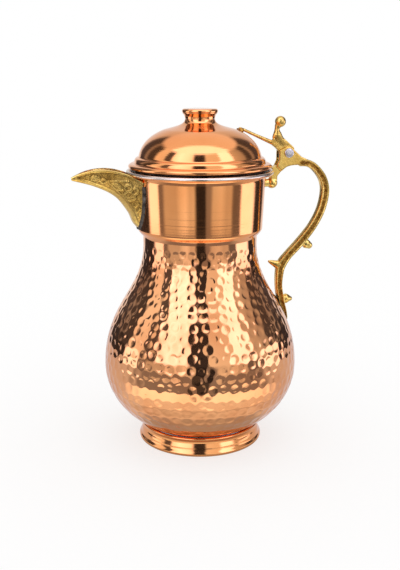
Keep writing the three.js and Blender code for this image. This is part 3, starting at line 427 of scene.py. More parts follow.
def hammer_marks():
    """Where each blow fell, how wide it is and how it leans: staggered rows up the body's outside."""
    draw = random.Random(11)
    line = evenly(belly_outline(), 0.5)
    points, sizes, leans = [], [], []
    row = 0
    next_height = MARK_LOW
    for radius, z in line:
        if z < next_height or z > MARK_HIGH:
            continue
        narrow = (BELLY_RADIUS - radius) / (BELLY_RADIUS - WAIST_RADIUS) if z > BELLY_HEIGHT else 0.0
        pitch = MARK_PITCH * (1 - WAIST_PITCH_LOSS * narrow)
        gain = LOW_SIZE_GAIN if z < LOW_MARKS_TOP else 1.0
        size = MARK_SIZE * (1 - WAIST_SIZE_LOSS * narrow) * gain
        count = round(2 * math.pi * radius / pitch)
        start = 0.5 * (row % 2) + draw.uniform(-STRAY_ROW, STRAY_ROW)
        for i in range(count):
            turn = (i + start + draw.uniform(-STRAY_ALONG, STRAY_ALONG)) * 2 * math.pi / count
            up = z + draw.uniform(-STRAY_UP, STRAY_UP)
            out = np.interp(up, line[:, 1], line[:, 0])
            points.append((out * math.cos(turn), out * math.sin(turn), up))
            sizes.append(size * draw.uniform(*SIZE_RANGE))
            leans.append([draw.uniform(-MARK_LEAN, MARK_LEAN) for _ in range(3)])
        row += 1
        next_height = z + pitch * ROW_SHARE
    return points, sizes, leans


def hammer_tree():
    """Sinks a shallow dish into the outside at each mark, deeper on the side that it leans to."""
    tree = bpy.data.node_groups.new("hammer_marks", "GeometryNodeTree")
    sockets = [("Geometry", "Geometry"), ("Marks", "Object"), ("Depth Share", "Float"), ("Metal", "Material")]
    for label, kind in sockets:
        tree.interface.new_socket(label, in_out="INPUT", socket_type=f"NodeSocket{kind}")
    tree.interface.new_socket("Geometry", in_out="OUTPUT", socket_type="NodeSocketGeometry")
    given = node(tree, "NodeGroupInput").outputs
    marks = node(tree, "GeometryNodeObjectInfo", {"Object": given["Marks"]}).outputs["Geometry"]
    here = node(tree, "GeometryNodeInputPosition").outputs[0]
    nearest = node(tree, "GeometryNodeSampleNearest", {"Geometry": marks, "Sample Position": here}).outputs[0]

    def named(name, kind):
        return node(tree, "GeometryNodeInputNamedAttribute", {"Name": name}, data_type=kind).outputs[0]

    def of_nearest(value, kind):
        inputs = {"Geometry": marks, "Value": value, "Index": nearest}
        return node(tree, "GeometryNodeSampleIndex", inputs, data_type=kind).outputs[0]

    centre = of_nearest(here, "FLOAT_VECTOR")
    size = of_nearest(named("size", "FLOAT"), "FLOAT")
    lean = of_nearest(named("lean", "FLOAT_VECTOR"), "FLOAT_VECTOR")
    outside = named("outside", "FLOAT")
    share = maths(tree, "DIVIDE", vector_maths(tree, "DISTANCE", here, centre), size)
    square = maths(tree, "MULTIPLY", share, share)
    dish = maths(tree, "SUBTRACT", 1.0, maths(tree, "MULTIPLY", square, square), use_clamp=True)
    leaning = vector_maths(tree, "DOT_PRODUCT", vector_maths(tree, "SUBTRACT", here, centre), lean)
    deep = maths(tree, "ADD", maths(tree, "MULTIPLY", size, given["Depth Share"]), leaning)
    down = maths(tree, "MULTIPLY", maths(tree, "MULTIPLY", dish, outside), deep)
    inward = maths(tree, "MULTIPLY", down, -1.0)
    normal = node(tree, "GeometryNodeInputNormal").outputs[0]
    move = node(tree, "ShaderNodeVectorMath", {0: normal, "Scale": inward}, operation="SCALE").outputs[0]
    moved = node(tree, "GeometryNodeSetPosition", {"Geometry": given["Geometry"], "Offset": move}).outputs[0]
    real = node(tree, "GeometryNodeRealizeInstances", {"Geometry": moved}).outputs[0]
    hammered = node(tree, "FunctionNodeCompare", {0: outside, 1: 0.5}, operation="GREATER_THAN").outputs[0]
    done = node(
        tree,
        "GeometryNodeSetMaterial",
        {"Geometry": real, "Selection": hammered, "Material": given["Metal"]},
    )
    node(tree, "NodeGroupOutput", {"Geometry": done.outputs[0]})
    return tree


def evaluated(made, name):
    """Applies the modifiers of a piece and gives the plain mesh its name."""
    graph = bpy.context.evaluated_depsgraph_get()
    mesh = bpy.data.meshes.new_from_object(made.evaluated_get(graph))
    made.modifiers.clear()
    old = made.data
    made.data = mesh
    bpy.data.meshes.remove(old)
    mesh.name = name
    return made


def give(mesh, name, values):
    """A number for each point of the mesh, under a name."""
    attribute = mesh.attributes.new(name, "FLOAT", "POINT")
    attribute.data.foreach_set("value", np.asarray(values, dtype=np.float32))


body_outside = evenly(np.vstack([belly_outline(), flare()[1:]]), BODY_STEP)
marked = (body_outside[:, 1] > MARK_LOW - MARK_MARGIN) & (body_outside[:, 1] < MARK_HIGH + MARK_MARGIN)
body_outside = body_outside[marked | (np.arange(len(body_outside)) % PLAIN_STEP == 0)]
sleeve_top = SEAM_HEIGHT + STEP_RISE + LAP_HEIGHT
sleeve_edge = [(SLEEVE_RADIUS, sleeve_top - 0.3), (SLEEVE_RADIUS - 0.3, sleeve_top)]
body_outside = np.vstack([body_outside, sleeve_edge])
body_inside = sideways(evenly(body_outside, INSIDE_STEP), -COPPER_WALL)[::-1]
body_inside[0] = (SLEEVE_RADIUS - COPPER_WALL, sleeve_top)
body_inside[-1, 1] = BOTTOM_HEIGHT + COPPER_WALL
floor = [(r, BOTTOM_HEIGHT) for r in FLOOR_RINGS]
profile = np.vstack([floor, body_outside, body_inside, [(0, BOTTOM_HEIGHT + COPPER_WALL)]])
first_inside = len(floor) + len(body_outside) - 1
points, faces, slots = turned(profile, BODY_SEGMENTS, (np.arange(len(profile)) >= first_inside).tolist())
hammered_body = mesh_piece("hammered_body", points, faces, [hammered_copper, tinned_copper], slots)
outer_count = 1 + first_inside * BODY_SEGMENTS
fade = np.clip((MARK_HIGH - points[:, 2]) / MARK_FADE + 0.5, 0, 1) * (np.arange(len(points)) < outer_count)
give(hammered_body.data, "outside", fade)
mark_points, mark_sizes, mark_leans = hammer_marks()
marks = mesh_piece("marks", mark_points, [])
give(marks.data, "size", np.array(mark_sizes) * MM)
lean_values = marks.data.attributes.new("lean", "FLOAT_VECTOR", "POINT").data
lean_values.foreach_set("vector", np.array(mark_leans).ravel())
hammering = hammered_body.modifiers.new("hammer_marks", "NODES")
hammering.node_group = hammer_tree()
inputs = {s.name: s.identifier for s in hammering.node_group.interface.items_tree if s.in_out == "INPUT"}
hammering[inputs["Marks"]] = marks
hammering[inputs["Depth Share"]] = MARK_DEPTH
hammering[inputs["Metal"]] = hammered_copper
evaluated(hammered_body, "hammered_body")
bpy.data.objects.remove(marks)
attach(hammered_body, "jug")
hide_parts("body_shell")

# Foot. A turned ring of thicker copper, polished, with a rolled edge on the table and a flange that
# is soldered under the belly.

FOOT_RADIUS = 47.4
FOOT_GROOVE = 1.6
FOOT_BAND_RADIUS = 46.9
FOOT_FLANGE_RADIUS = 43.4
FOOT_ROLL_RADIUS = 48.9
FOOT_ROLL_WIDTH = 3.2
FOOT_PINCH = 1.2
FOOT_FIT = 0.12
TURNED_SEGMENTS = 300

# Polished copper: smoother than the hammered body, with faint rings from the polishing lathe
polished_copper, tree, shader, place = metal("polished_copper", "#F4A468", 0.09)
tones = noise(tree, place, 25.0, 4.0)
from_axis = vector_maths(tree, "SUBTRACT", place, [v * MM for v in AXIS])
out_far = vector_maths(tree, "LENGTH", vector_maths(tree, "MULTIPLY", from_axis, (1.0, 1.0, 0.0)))
up = node(tree, "ShaderNodeSeparateXYZ", {0: place}).outputs["Z"]
ring_place = {"W": maths(tree, "SUBTRACT", up, out_far), "Scale": 700.0}
ring_lines = node(tree, "ShaderNodeTexNoise", ring_place, noise_dimensions="1D").outputs["Fac"]
swell = bump(tree, noise(tree, place, 32.0, 1.0), 0.5, 0.0006)
polished_finish = {
    "Base Color": ramp(tree, tones, [(0.35, "#F6AA6C"), (0.7, "#EC9A5C")]),
    "Roughness": ramp(tree, tones, [(0.3, 0.06), (0.75, 0.14)]),
    "Normal": bump(tree, ring_lines, 0.38, 0.0001, Normal=swell),
}
finish(tree, shader, polished_finish)


def softened(outline, cuts=3):
    """Cuts the outline's corners off again and again, so that it rounds."""
    line = np.asarray(outline, dtype=float)
    for _ in range(cuts):
        after = np.roll(line, -1, axis=0)
        line = np.stack([0.75 * line + 0.25 * after, 0.25 * line + 0.75 * after], axis=1).reshape(-1, 2)
    return line


def belly_underside(radius):
    """The height of the bowl's outside at a distance from the axis."""
    return BELLY_HEIGHT - BELLY_DROP * math.sqrt(1 - (radius / BELLY_RADIUS) ** 2)


def turned_piece(name, outline, segments, materials, ring_materials=None):
    """A mesh object turned from its outline."""
    points, faces, slots = turned(outline, segments, ring_materials)
    return mesh_piece(name, points, faces, materials, slots)


foot_top = belly_underside(FOOT_RADIUS) - FOOT_GROOVE
foot_band = foot_top * 0.66
flange_top = belly_underside(FOOT_FLANGE_RADIUS) - FOOT_FIT
foot_outline = [
    (FOOT_ROLL_RADIUS - FOOT_ROLL_WIDTH, 0.0),
    (FOOT_ROLL_RADIUS - 1.6, 0.0),
    (FOOT_ROLL_RADIUS - 0.8, 0.0),
    (FOOT_ROLL_RADIUS, 0.7),
    (FOOT_ROLL_RADIUS + 0.05, 2.2),
    (FOOT_ROLL_RADIUS - 0.5, FOOT_ROLL_WIDTH),
    (FOOT_BAND_RADIUS + 0.7, FOOT_ROLL_WIDTH + 1.2),
    (FOOT_BAND_RADIUS, foot_band - 2.2),
    (FOOT_BAND_RADIUS - 1.0, foot_band),
    (FOOT_BAND_RADIUS - FOOT_PINCH, foot_top - 2.8),
    (FOOT_RADIUS - 0.3, foot_top - 1.9),
    (FOOT_RADIUS + 0.1, foot_top - 0.7),
    (FOOT_RADIUS - 0.9, foot_top),
    (FOOT_FLANGE_RADIUS + 1.4, belly_underside(FOOT_FLANGE_RADIUS + 1.4) - 0.15),
    (FOOT_FLANGE_RADIUS + 0.6, belly_underside(FOOT_FLANGE_RADIUS + 0.6) - FOOT_FIT),
    (FOOT_FLANGE_RADIUS, flange_top),
    (FOOT_FLANGE_RADIUS, flange_top - COPPER_WALL),
    (FOOT_BAND_RADIUS - FOOT_PINCH - COPPER_WALL, foot_top - COPPER_WALL - 0.8),
    (FOOT_BAND_RADIUS - 1.0 - COPPER_WALL, foot_band),
    (FOOT_ROLL_RADIUS - FOOT_ROLL_WIDTH * 0.75, FOOT_ROLL_WIDTH),
]
polished_foot = turned_piece("polished_foot", softened(foot_outline), TURNED_SEGMENTS, [polished_copper])
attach(polished_foot, "jug")
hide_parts("foot_ring")

# Neck collar. A spun and polished copper tube pushed over the body's sleeve. Its top flares into a
# rolled lip, and ten strainer holes go through the wall behind the spout. Inside it is tinned.

COLLAR_TOP_RADIUS = 49.8
COLLAR_THROAT = COLLAR_TOP_RADIUS - COPPER_WALL
LIP_HEIGHT = 214.3
LIP_FLARE_HEIGHT = 206.3
LIP_BEAD = (54.4, 212.6)
LIP_BEAD_RADIUS = 1.7
LIP_UNDER = (52.7, 212.0)
STRAINER_HOLE_RADIUS = 2.4
STRAINER_PITCH = 8.5
STRAINER_TOP = 198.3
STRAINER_ROW_SHARE = 0.87
STRAINER_DRILL = (45.0, 53.0)
STRAINER_ROWS = ((-1, 0, 1), (-1.5, -0.5, 0.5, 1.5), (-1, 0, 1))
COLLAR_EDGE = 0.4
RIVET_RADIUS = 1.7
BOSS = (58.0, 202.2)


def joined(parts):
    """Several point and face lists as one."""
    points, faces = [], []
    for some_points, some_faces in parts:
        faces.extend([[v + len(points) for v in face] for face in some_faces])
        points.extend(np.asarray(some_points).tolist())
    return np.array(points), faces


def loft(rings):
    """A closed skin over rings of points, with flat ends."""
    count = len(rings[0])
    points = np.vstack(rings)
    faces = []
    for i in range(len(rings) - 1):
        for j in range(count):
            a, b = i * count + j, i * count + (j + 1) % count
            faces.append([a, b, b + count, a + count])
    last = len(points) - count
    return points, faces + [list(range(count))[::-1], list(range(last, last + count))]


def rod(start, end, radius, segments=24):
    """A round bar from point to point."""
    start, end = np.array(start, dtype=float), np.array(end, dtype=float)
    along = (end - start) / np.linalg.norm(end - start)
    side = np.cross(along, (0.0, 0.0, 1.0) if abs(along[2]) < 0.9 else (1.0, 0.0, 0.0))
    side /= np.linalg.norm(side)
    turns = round_turns(segments)[:, None]
    ring = radius * (np.cos(turns) * side + np.sin(turns) * np.cross(along, side))
    return loft([start + ring, end + ring])


def outwards(made):
    """Turns every face outwards."""
    bpy.ops.object.select_all(action="DESELECT")
    made.select_set(True)
    bpy.context.view_layer.objects.active = made
    bpy.ops.object.mode_set(mode="EDIT")
    bpy.ops.mesh.select_all(action="SELECT")
    bpy.ops.mesh.normals_make_consistent(inside=False)
    bpy.ops.object.mode_set(mode="OBJECT")
    return made


def cut(made, cutter_points, cutter_faces):
    """Cuts a solid from a piece."""
    cutter = outwards(mesh_piece("cutter", cutter_points, cutter_faces))
    boolean = made.modifiers.new("cut", "BOOLEAN")
    boolean.operation = "DIFFERENCE"
    boolean.solver = "MANIFOLD"
    boolean.object = cutter
    evaluated(made, made.name)
    bpy.data.objects.remove(cutter)
    return made


def sharpened(made, degrees=35):
    """Smooth faces, but crisp where two meet at more than this angle."""
    made.data.polygons.foreach_set("use_smooth", [True] * len(made.data.polygons))
    made.data.set_sharp_from_angle(angle=math.radians(degrees))
    return made


covered = flare(20)[5:]
collar_thickness = JOINT_GAP + np.interp(np.arange(len(covered)), [0, 2], [COLLAR_EDGE, COPPER_WALL])
collar_outside = sideways(covered, collar_thickness)
tube = evenly([collar_outside[-1], (COLLAR_TOP_RADIUS, LIP_FLARE_HEIGHT)], 2.5)
under_start, under_end = np.array((COLLAR_TOP_RADIUS, LIP_FLARE_HEIGHT)), np.array(LIP_UNDER)
under_pull = np.array((COLLAR_TOP_RADIUS, LIP_UNDER[1] - 1))
t = np.linspace(0, 1, 13)[:, None]
lip_under = (1 - t) ** 2 * under_start + 2 * (1 - t) * t * under_pull + t**2 * under_end
bead = arc(LIP_BEAD, (LIP_BEAD_RADIUS, LIP_BEAD_RADIUS), -111, 90, 18)
lip_inside = bezier(
    (LIP_BEAD[0], LIP_HEIGHT),
    (LIP_BEAD[0] - 3, LIP_HEIGHT),
    (COLLAR_THROAT, LIP_HEIGHT - 1),
    (COLLAR_THROAT, LIP_FLARE_HEIGHT),
    16,
)
collar_inside = np.vstack([sideways(covered, JOINT_GAP), [(COLLAR_THROAT, LIP_FLARE_HEIGHT)]])[::-1]
outer_line = np.vstack([collar_outside, tube[1:], lip_under[1:], bead[:-1]])
collar_outline = np.vstack([outer_line, lip_inside[:-1], evenly(collar_inside, 3.0)])
collar_slots = (np.arange(len(collar_outline)) >= len(outer_line) - 9).tolist()
copper_and_tin = [polished_copper, tinned_copper]
polished_neck = turned_piece("polished_neck", collar_outline, TURNED_SEGMENTS, copper_and_tin, collar_slots)
holes = [rod((COLLAR_THROAT - 3, 0, BOSS[1]), (COLLAR_TOP_RADIUS + 3, 0, BOSS[1]), RIVET_RADIUS)]
for row, across in enumerate(STRAINER_ROWS):
    for step in across:
        turn = math.pi + step * STRAINER_PITCH / COLLAR_TOP_RADIUS
        z = STRAINER_TOP - row * STRAINER_PITCH * STRAINER_ROW_SHARE
        inner, outer = ((r * math.cos(turn), r * math.sin(turn), z) for r in STRAINER_DRILL)
        holes.append(rod(inner, outer, STRAINER_HOLE_RADIUS))
sharpened(cut(polished_neck, *joined(holes)))
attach(polished_neck, "jug")
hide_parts("neck_collar")

# Lid. One spun copper sheet: a rounded brim, a rounded step, a full dome and a hollow sweep up to the
# neck that holds the knob. Polished outside, tinned inside.

LID_WALL = 1.0
LID_RADIUS = 54.4
BRIM_UNDERSIDE = 215.9
BRIM_TOP = 219.4
BRIM_INNER = 50.3
STEP_RADIUS = 49.9
STEP_TOP = 223.7
DOME_RADIUS = 47.1
DOME_SPRING = 2.3
DOME_RISE = 30.0
DOME_FULLNESS = 2.3
CROWN_RADIUS = 27.3
CROWN_TOP = 252.0
KNOB_NECK = 11.3


def dome_height(radius):
    """The height of the dome's outside at a distance from the axis."""
    share = 1 - (radius / DOME_RADIUS) ** DOME_FULLNESS
    return BRIM_UNDERSIDE + DOME_SPRING + DOME_RISE * share ** (1 / DOME_FULLNESS)


def dome_line():
    """The dome's outside, from the step up to the crown's foot."""
    foot = (STEP_TOP + 0.6 - BRIM_UNDERSIDE - DOME_SPRING) / DOME_RISE
    start = math.asin(foot ** (DOME_FULLNESS / 2))
    end = math.acos((CROWN_RADIUS / DOME_RADIUS) ** (DOME_FULLNESS / 2))
    radii = DOME_RADIUS * np.cos(np.linspace(start, end, 40)) ** (2 / DOME_FULLNESS)
    return np.column_stack([radii, [dome_height(r) for r in radii]])


def crown_line():
    """The hollow sweep from the dome up to the knob's neck."""
    foot = np.array((CROWN_RADIUS, dome_height(CROWN_RADIUS)))
    reach, rise = CROWN_RADIUS - KNOB_NECK, CROWN_TOP - foot[1]
    leave, arrive = foot + (-reach * 0.45, rise * 0.28), (KNOB_NECK, foot[1] + rise * 0.41)
    return bezier(foot, leave, arrive, (KNOB_NECK, CROWN_TOP))


dome = np.vstack([dome_line(), crown_line()[1:]])
brim_low = BRIM_UNDERSIDE + 1.2
brim = arc((BRIM_INNER, brim_low), (LID_RADIUS - BRIM_INNER, BRIM_TOP - brim_low), 0, 90, 14)
step_inner, step_low = DOME_RADIUS + 0.2, BRIM_TOP + 0.5
step = arc((step_inner, step_low), (STEP_RADIUS - step_inner, STEP_TOP - step_low), 0, 90, 12)
brim_edge = [(LID_RADIUS - 0.6, BRIM_UNDERSIDE), (LID_RADIUS - 0.15, BRIM_UNDERSIDE + 0.35)]
lid_outside = np.vstack([brim_edge, brim, step, dome])
lid_inside = sideways(dome, -LID_WALL)[::-1]
lid_inside[0] = (KNOB_NECK - LID_WALL, CROWN_TOP)
lid_under = [
    (DOME_RADIUS - LID_WALL - 0.2, STEP_TOP - LID_WALL),
    (STEP_RADIUS - LID_WALL - 0.4, BRIM_TOP + 1.2),
    (BRIM_INNER - LID_WALL, BRIM_TOP - LID_WALL),
    (LID_RADIUS - 3.2, BRIM_UNDERSIDE),
]
lid_outline = np.vstack([lid_outside, lid_inside, lid_under])
lid_slots = [len(lid_outside) <= i < len(lid_outline) - 1 for i in range(len(lid_outline))]
polished_lid = turned_piece("polished_lid", lid_outline, TURNED_SEGMENTS, copper_and_tin, lid_slots)
sharpened(polished_lid, 50)
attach(polished_lid, "lid")
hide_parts("lid_shell")

# Ring under the lid. A tinned strip bent to an L: its flange lies on the lip, and its skirt drops into
# the mouth and centres the lid.

SKIRT_RADIUS = 47.8
SEAT_HEIGHT = LIP_HEIGHT + 0.3
SEAT_THICKNESS = 1.0
SEAT_RADIUS = LID_RADIUS - 1.6
SKIRT_DEPTH = 5.5
ring_outline = [
    (SKIRT_RADIUS - LID_WALL, SEAT_HEIGHT - SKIRT_DEPTH),
    (SKIRT_RADIUS, SEAT_HEIGHT - SKIRT_DEPTH),
    (SKIRT_RADIUS, SEAT_HEIGHT),
    (SEAT_RADIUS, SEAT_HEIGHT),
    (SEAT_RADIUS, SEAT_HEIGHT + SEAT_THICKNESS),
    (SKIRT_RADIUS - LID_WALL, SEAT_HEIGHT + SEAT_THICKNESS),
]
# Old tin, grey on the skirt; on the flange a painted shade, dark as the shadow in the gap between lip and lid
dark_tin, tree, shader, place = metal("dark_tin", "#3A302A", 0.42)
smudges = noise(tree, place, 120.0, 3.0)
up = node(tree, "ShaderNodeSeparateXYZ", {0: place}).outputs["Z"]
flange_share = mapped(tree, up, (SEAT_HEIGHT - 0.7) * MM, (SEAT_HEIGHT + 0.1) * MM)
skirt_tone = ramp(tree, smudges, [(0.35, "#B5A698"), (0.7, "#D6CABD")])
# The flange's dark tone is painted shade for the gap under the lid's brim
flange_painted_shade = ramp(tree, smudges, [(0.35, "#2A1A12"), (0.7, "#5C4A3E")])
finish(tree, shader, {"Base Color": mixed(tree, flange_share, skirt_tone, flange_painted_shade)})
seat_ring = turned_piece("seat_ring", softened(ring_outline, 2), TURNED_SEGMENTS, [dark_tin])
sharpened(seat_ring)
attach(seat_ring, "lid")
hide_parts("lid_inner_ring")

# Knob. A hollow spun cup turned upside down, with a waist and a rolled lip, soldered into the lid's
# neck.

KNOB_LOW = CROWN_TOP + JOINT_GAP
KNOB_TOP = KNOB_LOW + 7.2
KNOB_RADIUS = 13.5
KNOB_TOP_RADIUS = 11.9
KNOB_WALL = 0.9
KNOB_SLEEVE = KNOB_NECK - LID_WALL - JOINT_GAP
KNOB_SLEEVE_DEPTH = 3.0
waist = bezier(
    (KNOB_NECK, KNOB_LOW),
    (KNOB_NECK, KNOB_LOW + 1.6),
    (KNOB_RADIUS - 1.5, KNOB_LOW + 3.0),
    (KNOB_RADIUS - 0.4, KNOB_LOW + 3.9),
    8,
)
knob_outline = np.vstack(
    [
        [
            (KNOB_SLEEVE - KNOB_WALL, CROWN_TOP - KNOB_SLEEVE_DEPTH),
            (KNOB_SLEEVE, CROWN_TOP - KNOB_SLEEVE_DEPTH),
            (KNOB_SLEEVE, KNOB_LOW),
            (KNOB_NECK, KNOB_LOW),
        ],
        waist[1:],
        arc((KNOB_RADIUS - 1.7, KNOB_TOP - 1.75), (1.7, 1.75), -38, 90, 12),
        [(8.0, KNOB_TOP - 0.12), (4.0, KNOB_TOP - 0.06), (0.0, KNOB_TOP)],
        [
            (0.0, KNOB_TOP - KNOB_WALL),
            (KNOB_TOP_RADIUS - KNOB_WALL / 2, KNOB_TOP - KNOB_WALL),
            (KNOB_RADIUS - KNOB_WALL - 0.3, KNOB_TOP - 1.8),
            (KNOB_SLEEVE - KNOB_WALL, CROWN_TOP + KNOB_WALL),
        ],
    ]
)
polished_knob = turned_piece("polished_knob", knob_outline, 160, [polished_copper])
sharpened(polished_knob, 40)
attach(polished_knob, "lid")
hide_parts("lid_knob")

# Hinge pin. An aluminium rivet through the handle's two ears and the lever's eye between them. Both
# of its heads are pressed flat, and the lid turns on it.

PIN = (70.1, 225.2)
PIN_RADIUS = 1.9
CLEVIS_GAP = 4.1
CLEVIS_WIDTH = 8.5
pin_tones = [(0.35, "#D8D4D4"), (0.7, "#A9A2A2")]
pin_aluminium = spotted_metal("pin_aluminium", "#CFCBCB", 0.38, (700.0, 3.0), pin_tones, (0.25, 0.0002))

head_start = CLEVIS_WIDTH / 2 + JOINT_GAP
half_pin = [
    (PIN_RADIUS, 0.0),
    (PIN_RADIUS, head_start),
    (3.3, head_start),
    (3.58, head_start + 0.2),
    (3.6, head_start + 0.6),
    (3.4, head_start + 0.85),
    (2.6, head_start + 1.08),
    (1.2, head_start + 1.18),
    (0.0, head_start + 1.2),
]
pin_profile = np.array([(r, -y) for r, y in half_pin[::-1]] + half_pin[1:])
points, faces, _ = turned(pin_profile, 64)
points = np.column_stack([PIN[0] + points[:, 0], points[:, 2], PIN[1] - points[:, 1]])
round_pin = sharpened(mesh_piece("round_pin", points, faces, [pin_aluminium]), 40)
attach(round_pin, "jug")
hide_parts("hinge_pin")

# Spout. A hollow brass casting like a beak, open on top, with a leaf and flower relief on both cheeks
# between a polished rim and a polished keel. It is soft-soldered to the neck.

SPOUT_REACH = 98.0
SPOUT_TIP_HEIGHT = 210.8
SPOUT_END = (-43.81, 205.6)
SPOUT_CROWN = 8.7
SPOUT_LOW = 168.0
# Shares of the way from the tip to the keel's low end, along and down
SPOUT_KEEL_SHARES = ((0, 0), (0.32, 0.12), (0.6, 0.31), (0.78, 0.6), (0.86, 0.82), (1, 1))
SPOUT_TIP_HALF = 1.2
SPOUT_MOUTH_HALF = 17.0
SPOUT_WALL = 2.0
SPOUT_STEPS = 210
TROUGH_STEPS = 61
CHEEK_STEPS = 84
RELIEF = 0.5
RIM_WIDTH = 1.5
RIM_ROUND = 0.9
KEEL_BAND = 3.0
KEEL_SHINE = 0.6
CAST_SHINE = 0.38
RELIEF_SHINE = 0.3
# How dark the painted shade beside the cheek's relief is
CHEEK_PAINTED_SHADE = 0.55

# Cast brass, olive and grainy where it was left as cast, yellow and bright where it was polished, and
# darkened by painted shade in its crevices
cast_brass, tree, shader, place = metal("cast_brass", "#C89A48", 0.3)
polish = node(tree, "ShaderNodeAttribute", attribute_name="polish").outputs["Fac"]
crevice = node(tree, "ShaderNodeAttribute", attribute_name="crevice").outputs["Fac"]
lumps = noise(tree, place, 420.0, 3.0)
grain = maths(tree, "ADD", noise(tree, place, 1500.0, 3.0), lumps)
cast_tone = ramp(tree, lumps, [(0.35, "#6E4414"), (0.5, "#B67E30"), (0.65, "#E0AC50")])
bright_tone = ramp(tree, noise(tree, place, 70.0, 3.0), [(0.3, "#FADD84"), (0.7, "#E2B458")])
cast_finish = {
    # The crevice share mixes in dark brown as painted shade
    "Base Color": mixed(tree, crevice, mixed(tree, polish, cast_tone, bright_tone), linear("#633F12")),
    "Roughness": mapped(tree, polish, 0.0, 1.0, 0.22, 0.1),
    "Normal": bump(tree, grain, mapped(tree, polish, 0.0, 1.0, 0.55, 0.1), 0.0007),
}
finish(tree, shader, cast_finish)


def spline(places, count):
    """Points at even steps on a smooth line through the given places."""
    p = np.asarray(places, dtype=float)
    last = len(p) - 1
    at = np.linspace(0, last, count)
    i = np.minimum(at.astype(int), last - 1)
    w = (at - i)[:, None]
    a, b, c, d = p[np.maximum(i - 1, 0)], p[i], p[i + 1], p[np.minimum(i + 2, last)]
    leave, arrive = (c - a) / 2, (d - b) / 2
    cubic = 2 * b - 2 * c + leave + arrive
    return cubic * w**3 + (3 * c - 3 * b - 2 * leave - arrive) * w**2 + leave * w + b


def spout_curves(count):
    """The beak's top edge and keel from the tip to the neck, as radius direction and height."""
    tip, end = np.array((-SPOUT_REACH, SPOUT_TIP_HEIGHT)), np.array(SPOUT_END)
    length = end[0] - tip[0]
    leave, arrive = tip + (length * 0.28, SPOUT_CROWN), tip + (length * 0.67, SPOUT_CROWN * 0.95)
    top = bezier(tip, leave, arrive, end, count - 1)
    start = np.array((-SPOUT_REACH + 0.6, SPOUT_TIP_HEIGHT - 2.2))
    low_radius = np.interp(SPOUT_LOW, collar_outside[:, 1], collar_outside[:, 0])
    low = np.array((-low_radius + 2, SPOUT_LOW))
    keel = spline([start + (low - start) * share for share in SPOUT_KEEL_SHARES], count)
    return top, keel


def spout_rings(count, around, grow):
    """Rings of the beak. Each runs from the top edge down one cheek to the keel and up the other."""
    top, keel = spout_curves(count)
    mouth = SPOUT_REACH - math.sqrt(COLLAR_TOP_RADIUS**2 - SPOUT_MOUTH_HALF**2)
    half = SPOUT_TIP_HALF + (top[:, 0] + SPOUT_REACH) * (SPOUT_MOUTH_HALF - SPOUT_TIP_HALF) / mouth + grow
    height = np.linalg.norm(top - keel, axis=1)
    angle = np.linspace(0, np.pi / 2, around)
    down = np.sin(angle)[None, :] * (1 + grow / height[:, None])
    side = top[:, None, :] + (keel - top)[:, None, :] * down[:, :, None]
    width = half[:, None] * np.cos(angle)[None, :]
    if grow == 0:
        edge = np.clip(down * height[:, None] / RIM_ROUND, 0, 1)
        width = width - np.minimum(RIM_ROUND, half[:, None] * 0.5) * (1 - np.sqrt(1 - (1 - edge) ** 2))
    return side, width, down * height[:, None], (1 - down) * height[:, None]


def line_distance(x, z, line):
    """How far each point is from a line of straight stretches."""
    best = np.full(x.shape, 1e9)
    for (ax, az), (bx, bz) in zip(line[:-1], line[1:]):
        dx, dz = bx - ax, bz - az
        along = np.clip(((x - ax) * dx + (z - az) * dz) / (dx**2 + dz**2), 0, 1)
        best = np.minimum(best, np.hypot(x - ax - along * dx, z - az - along * dz))
    return best


def circle_line(centre, radius, start=0, end=360, squash=1.0, shrink=1.0):
    """A ring or part of one, angles in degrees. It winds inwards if it shrinks."""
    turns = np.radians(np.linspace(start, end, 25))
    radii = radius * np.linspace(1, shrink, 25)
    return np.column_stack([centre[0] + radii * np.cos(turns), centre[1] + squash * radii * np.sin(turns)])


# The cheek's drawing, as lines on the side of the beak: a rosette, a leaf, a long pointed frame round
# a leaf and a three-lobed flower, a scroll under it and leaves towards the foot of the beak
CHEEK_LINES = [
    circle_line((-80.6, 209.7), 3.0, squash=0.85),
    circle_line((-80.6, 209.7), 1.9, 0, 500, 0.85, 0.2),
    bezier((-76.9, 208.4), (-75.8, 210.6), (-74.0, 210.4), (-73.0, 208.4), 8),
    bezier((-76.4, 207.6), (-75.4, 206.2), (-74.0, 206.2), (-72.6, 207.9), 8),
    [(-71.9, 208.2), (-66.0, 208.7), (-57.4, 208.6)],
    bezier((-71.9, 208.2), (-66.5, 203.5), (-62.0, 197.5), (-57.5, 192.5), 10),
    bezier((-57.5, 192.5), (-54.5, 188.8), (-52.2, 185.0), (-50.3, 181.0), 8),
    bezier((-69.0, 206.4), (-66.0, 207.4), (-63.0, 206.0), (-61.6, 202.4), 8),
    bezier((-69.0, 206.4), (-67.6, 203.0), (-65.0, 201.2), (-61.6, 202.4), 8),
    [(-67.0, 205.4), (-63.4, 203.4)],
    circle_line((-57.6, 203.6), 2.3, -60, 210),
    circle_line((-53.2, 201.0), 2.3, -150, 120),
    circle_line((-57.4, 198.4), 2.5, 60, 330),
    circle_line((-55.9, 201.0), 0.8),
    bezier((-61.2, 198.6), (-60.6, 194.6), (-56.2, 192.6), (-53.2, 195.2), 10),
    bezier((-53.2, 195.2), (-51.8, 196.6), (-53.4, 198.2), (-54.4, 196.9), 6),
    [(-54.6, 191.4), (-52.9, 188.8), (-50.6, 191.6)],
    [(-53.0, 187.8), (-51.2, 184.8), (-49.6, 187.6)],
]
STROKE_WIDTH = 0.62


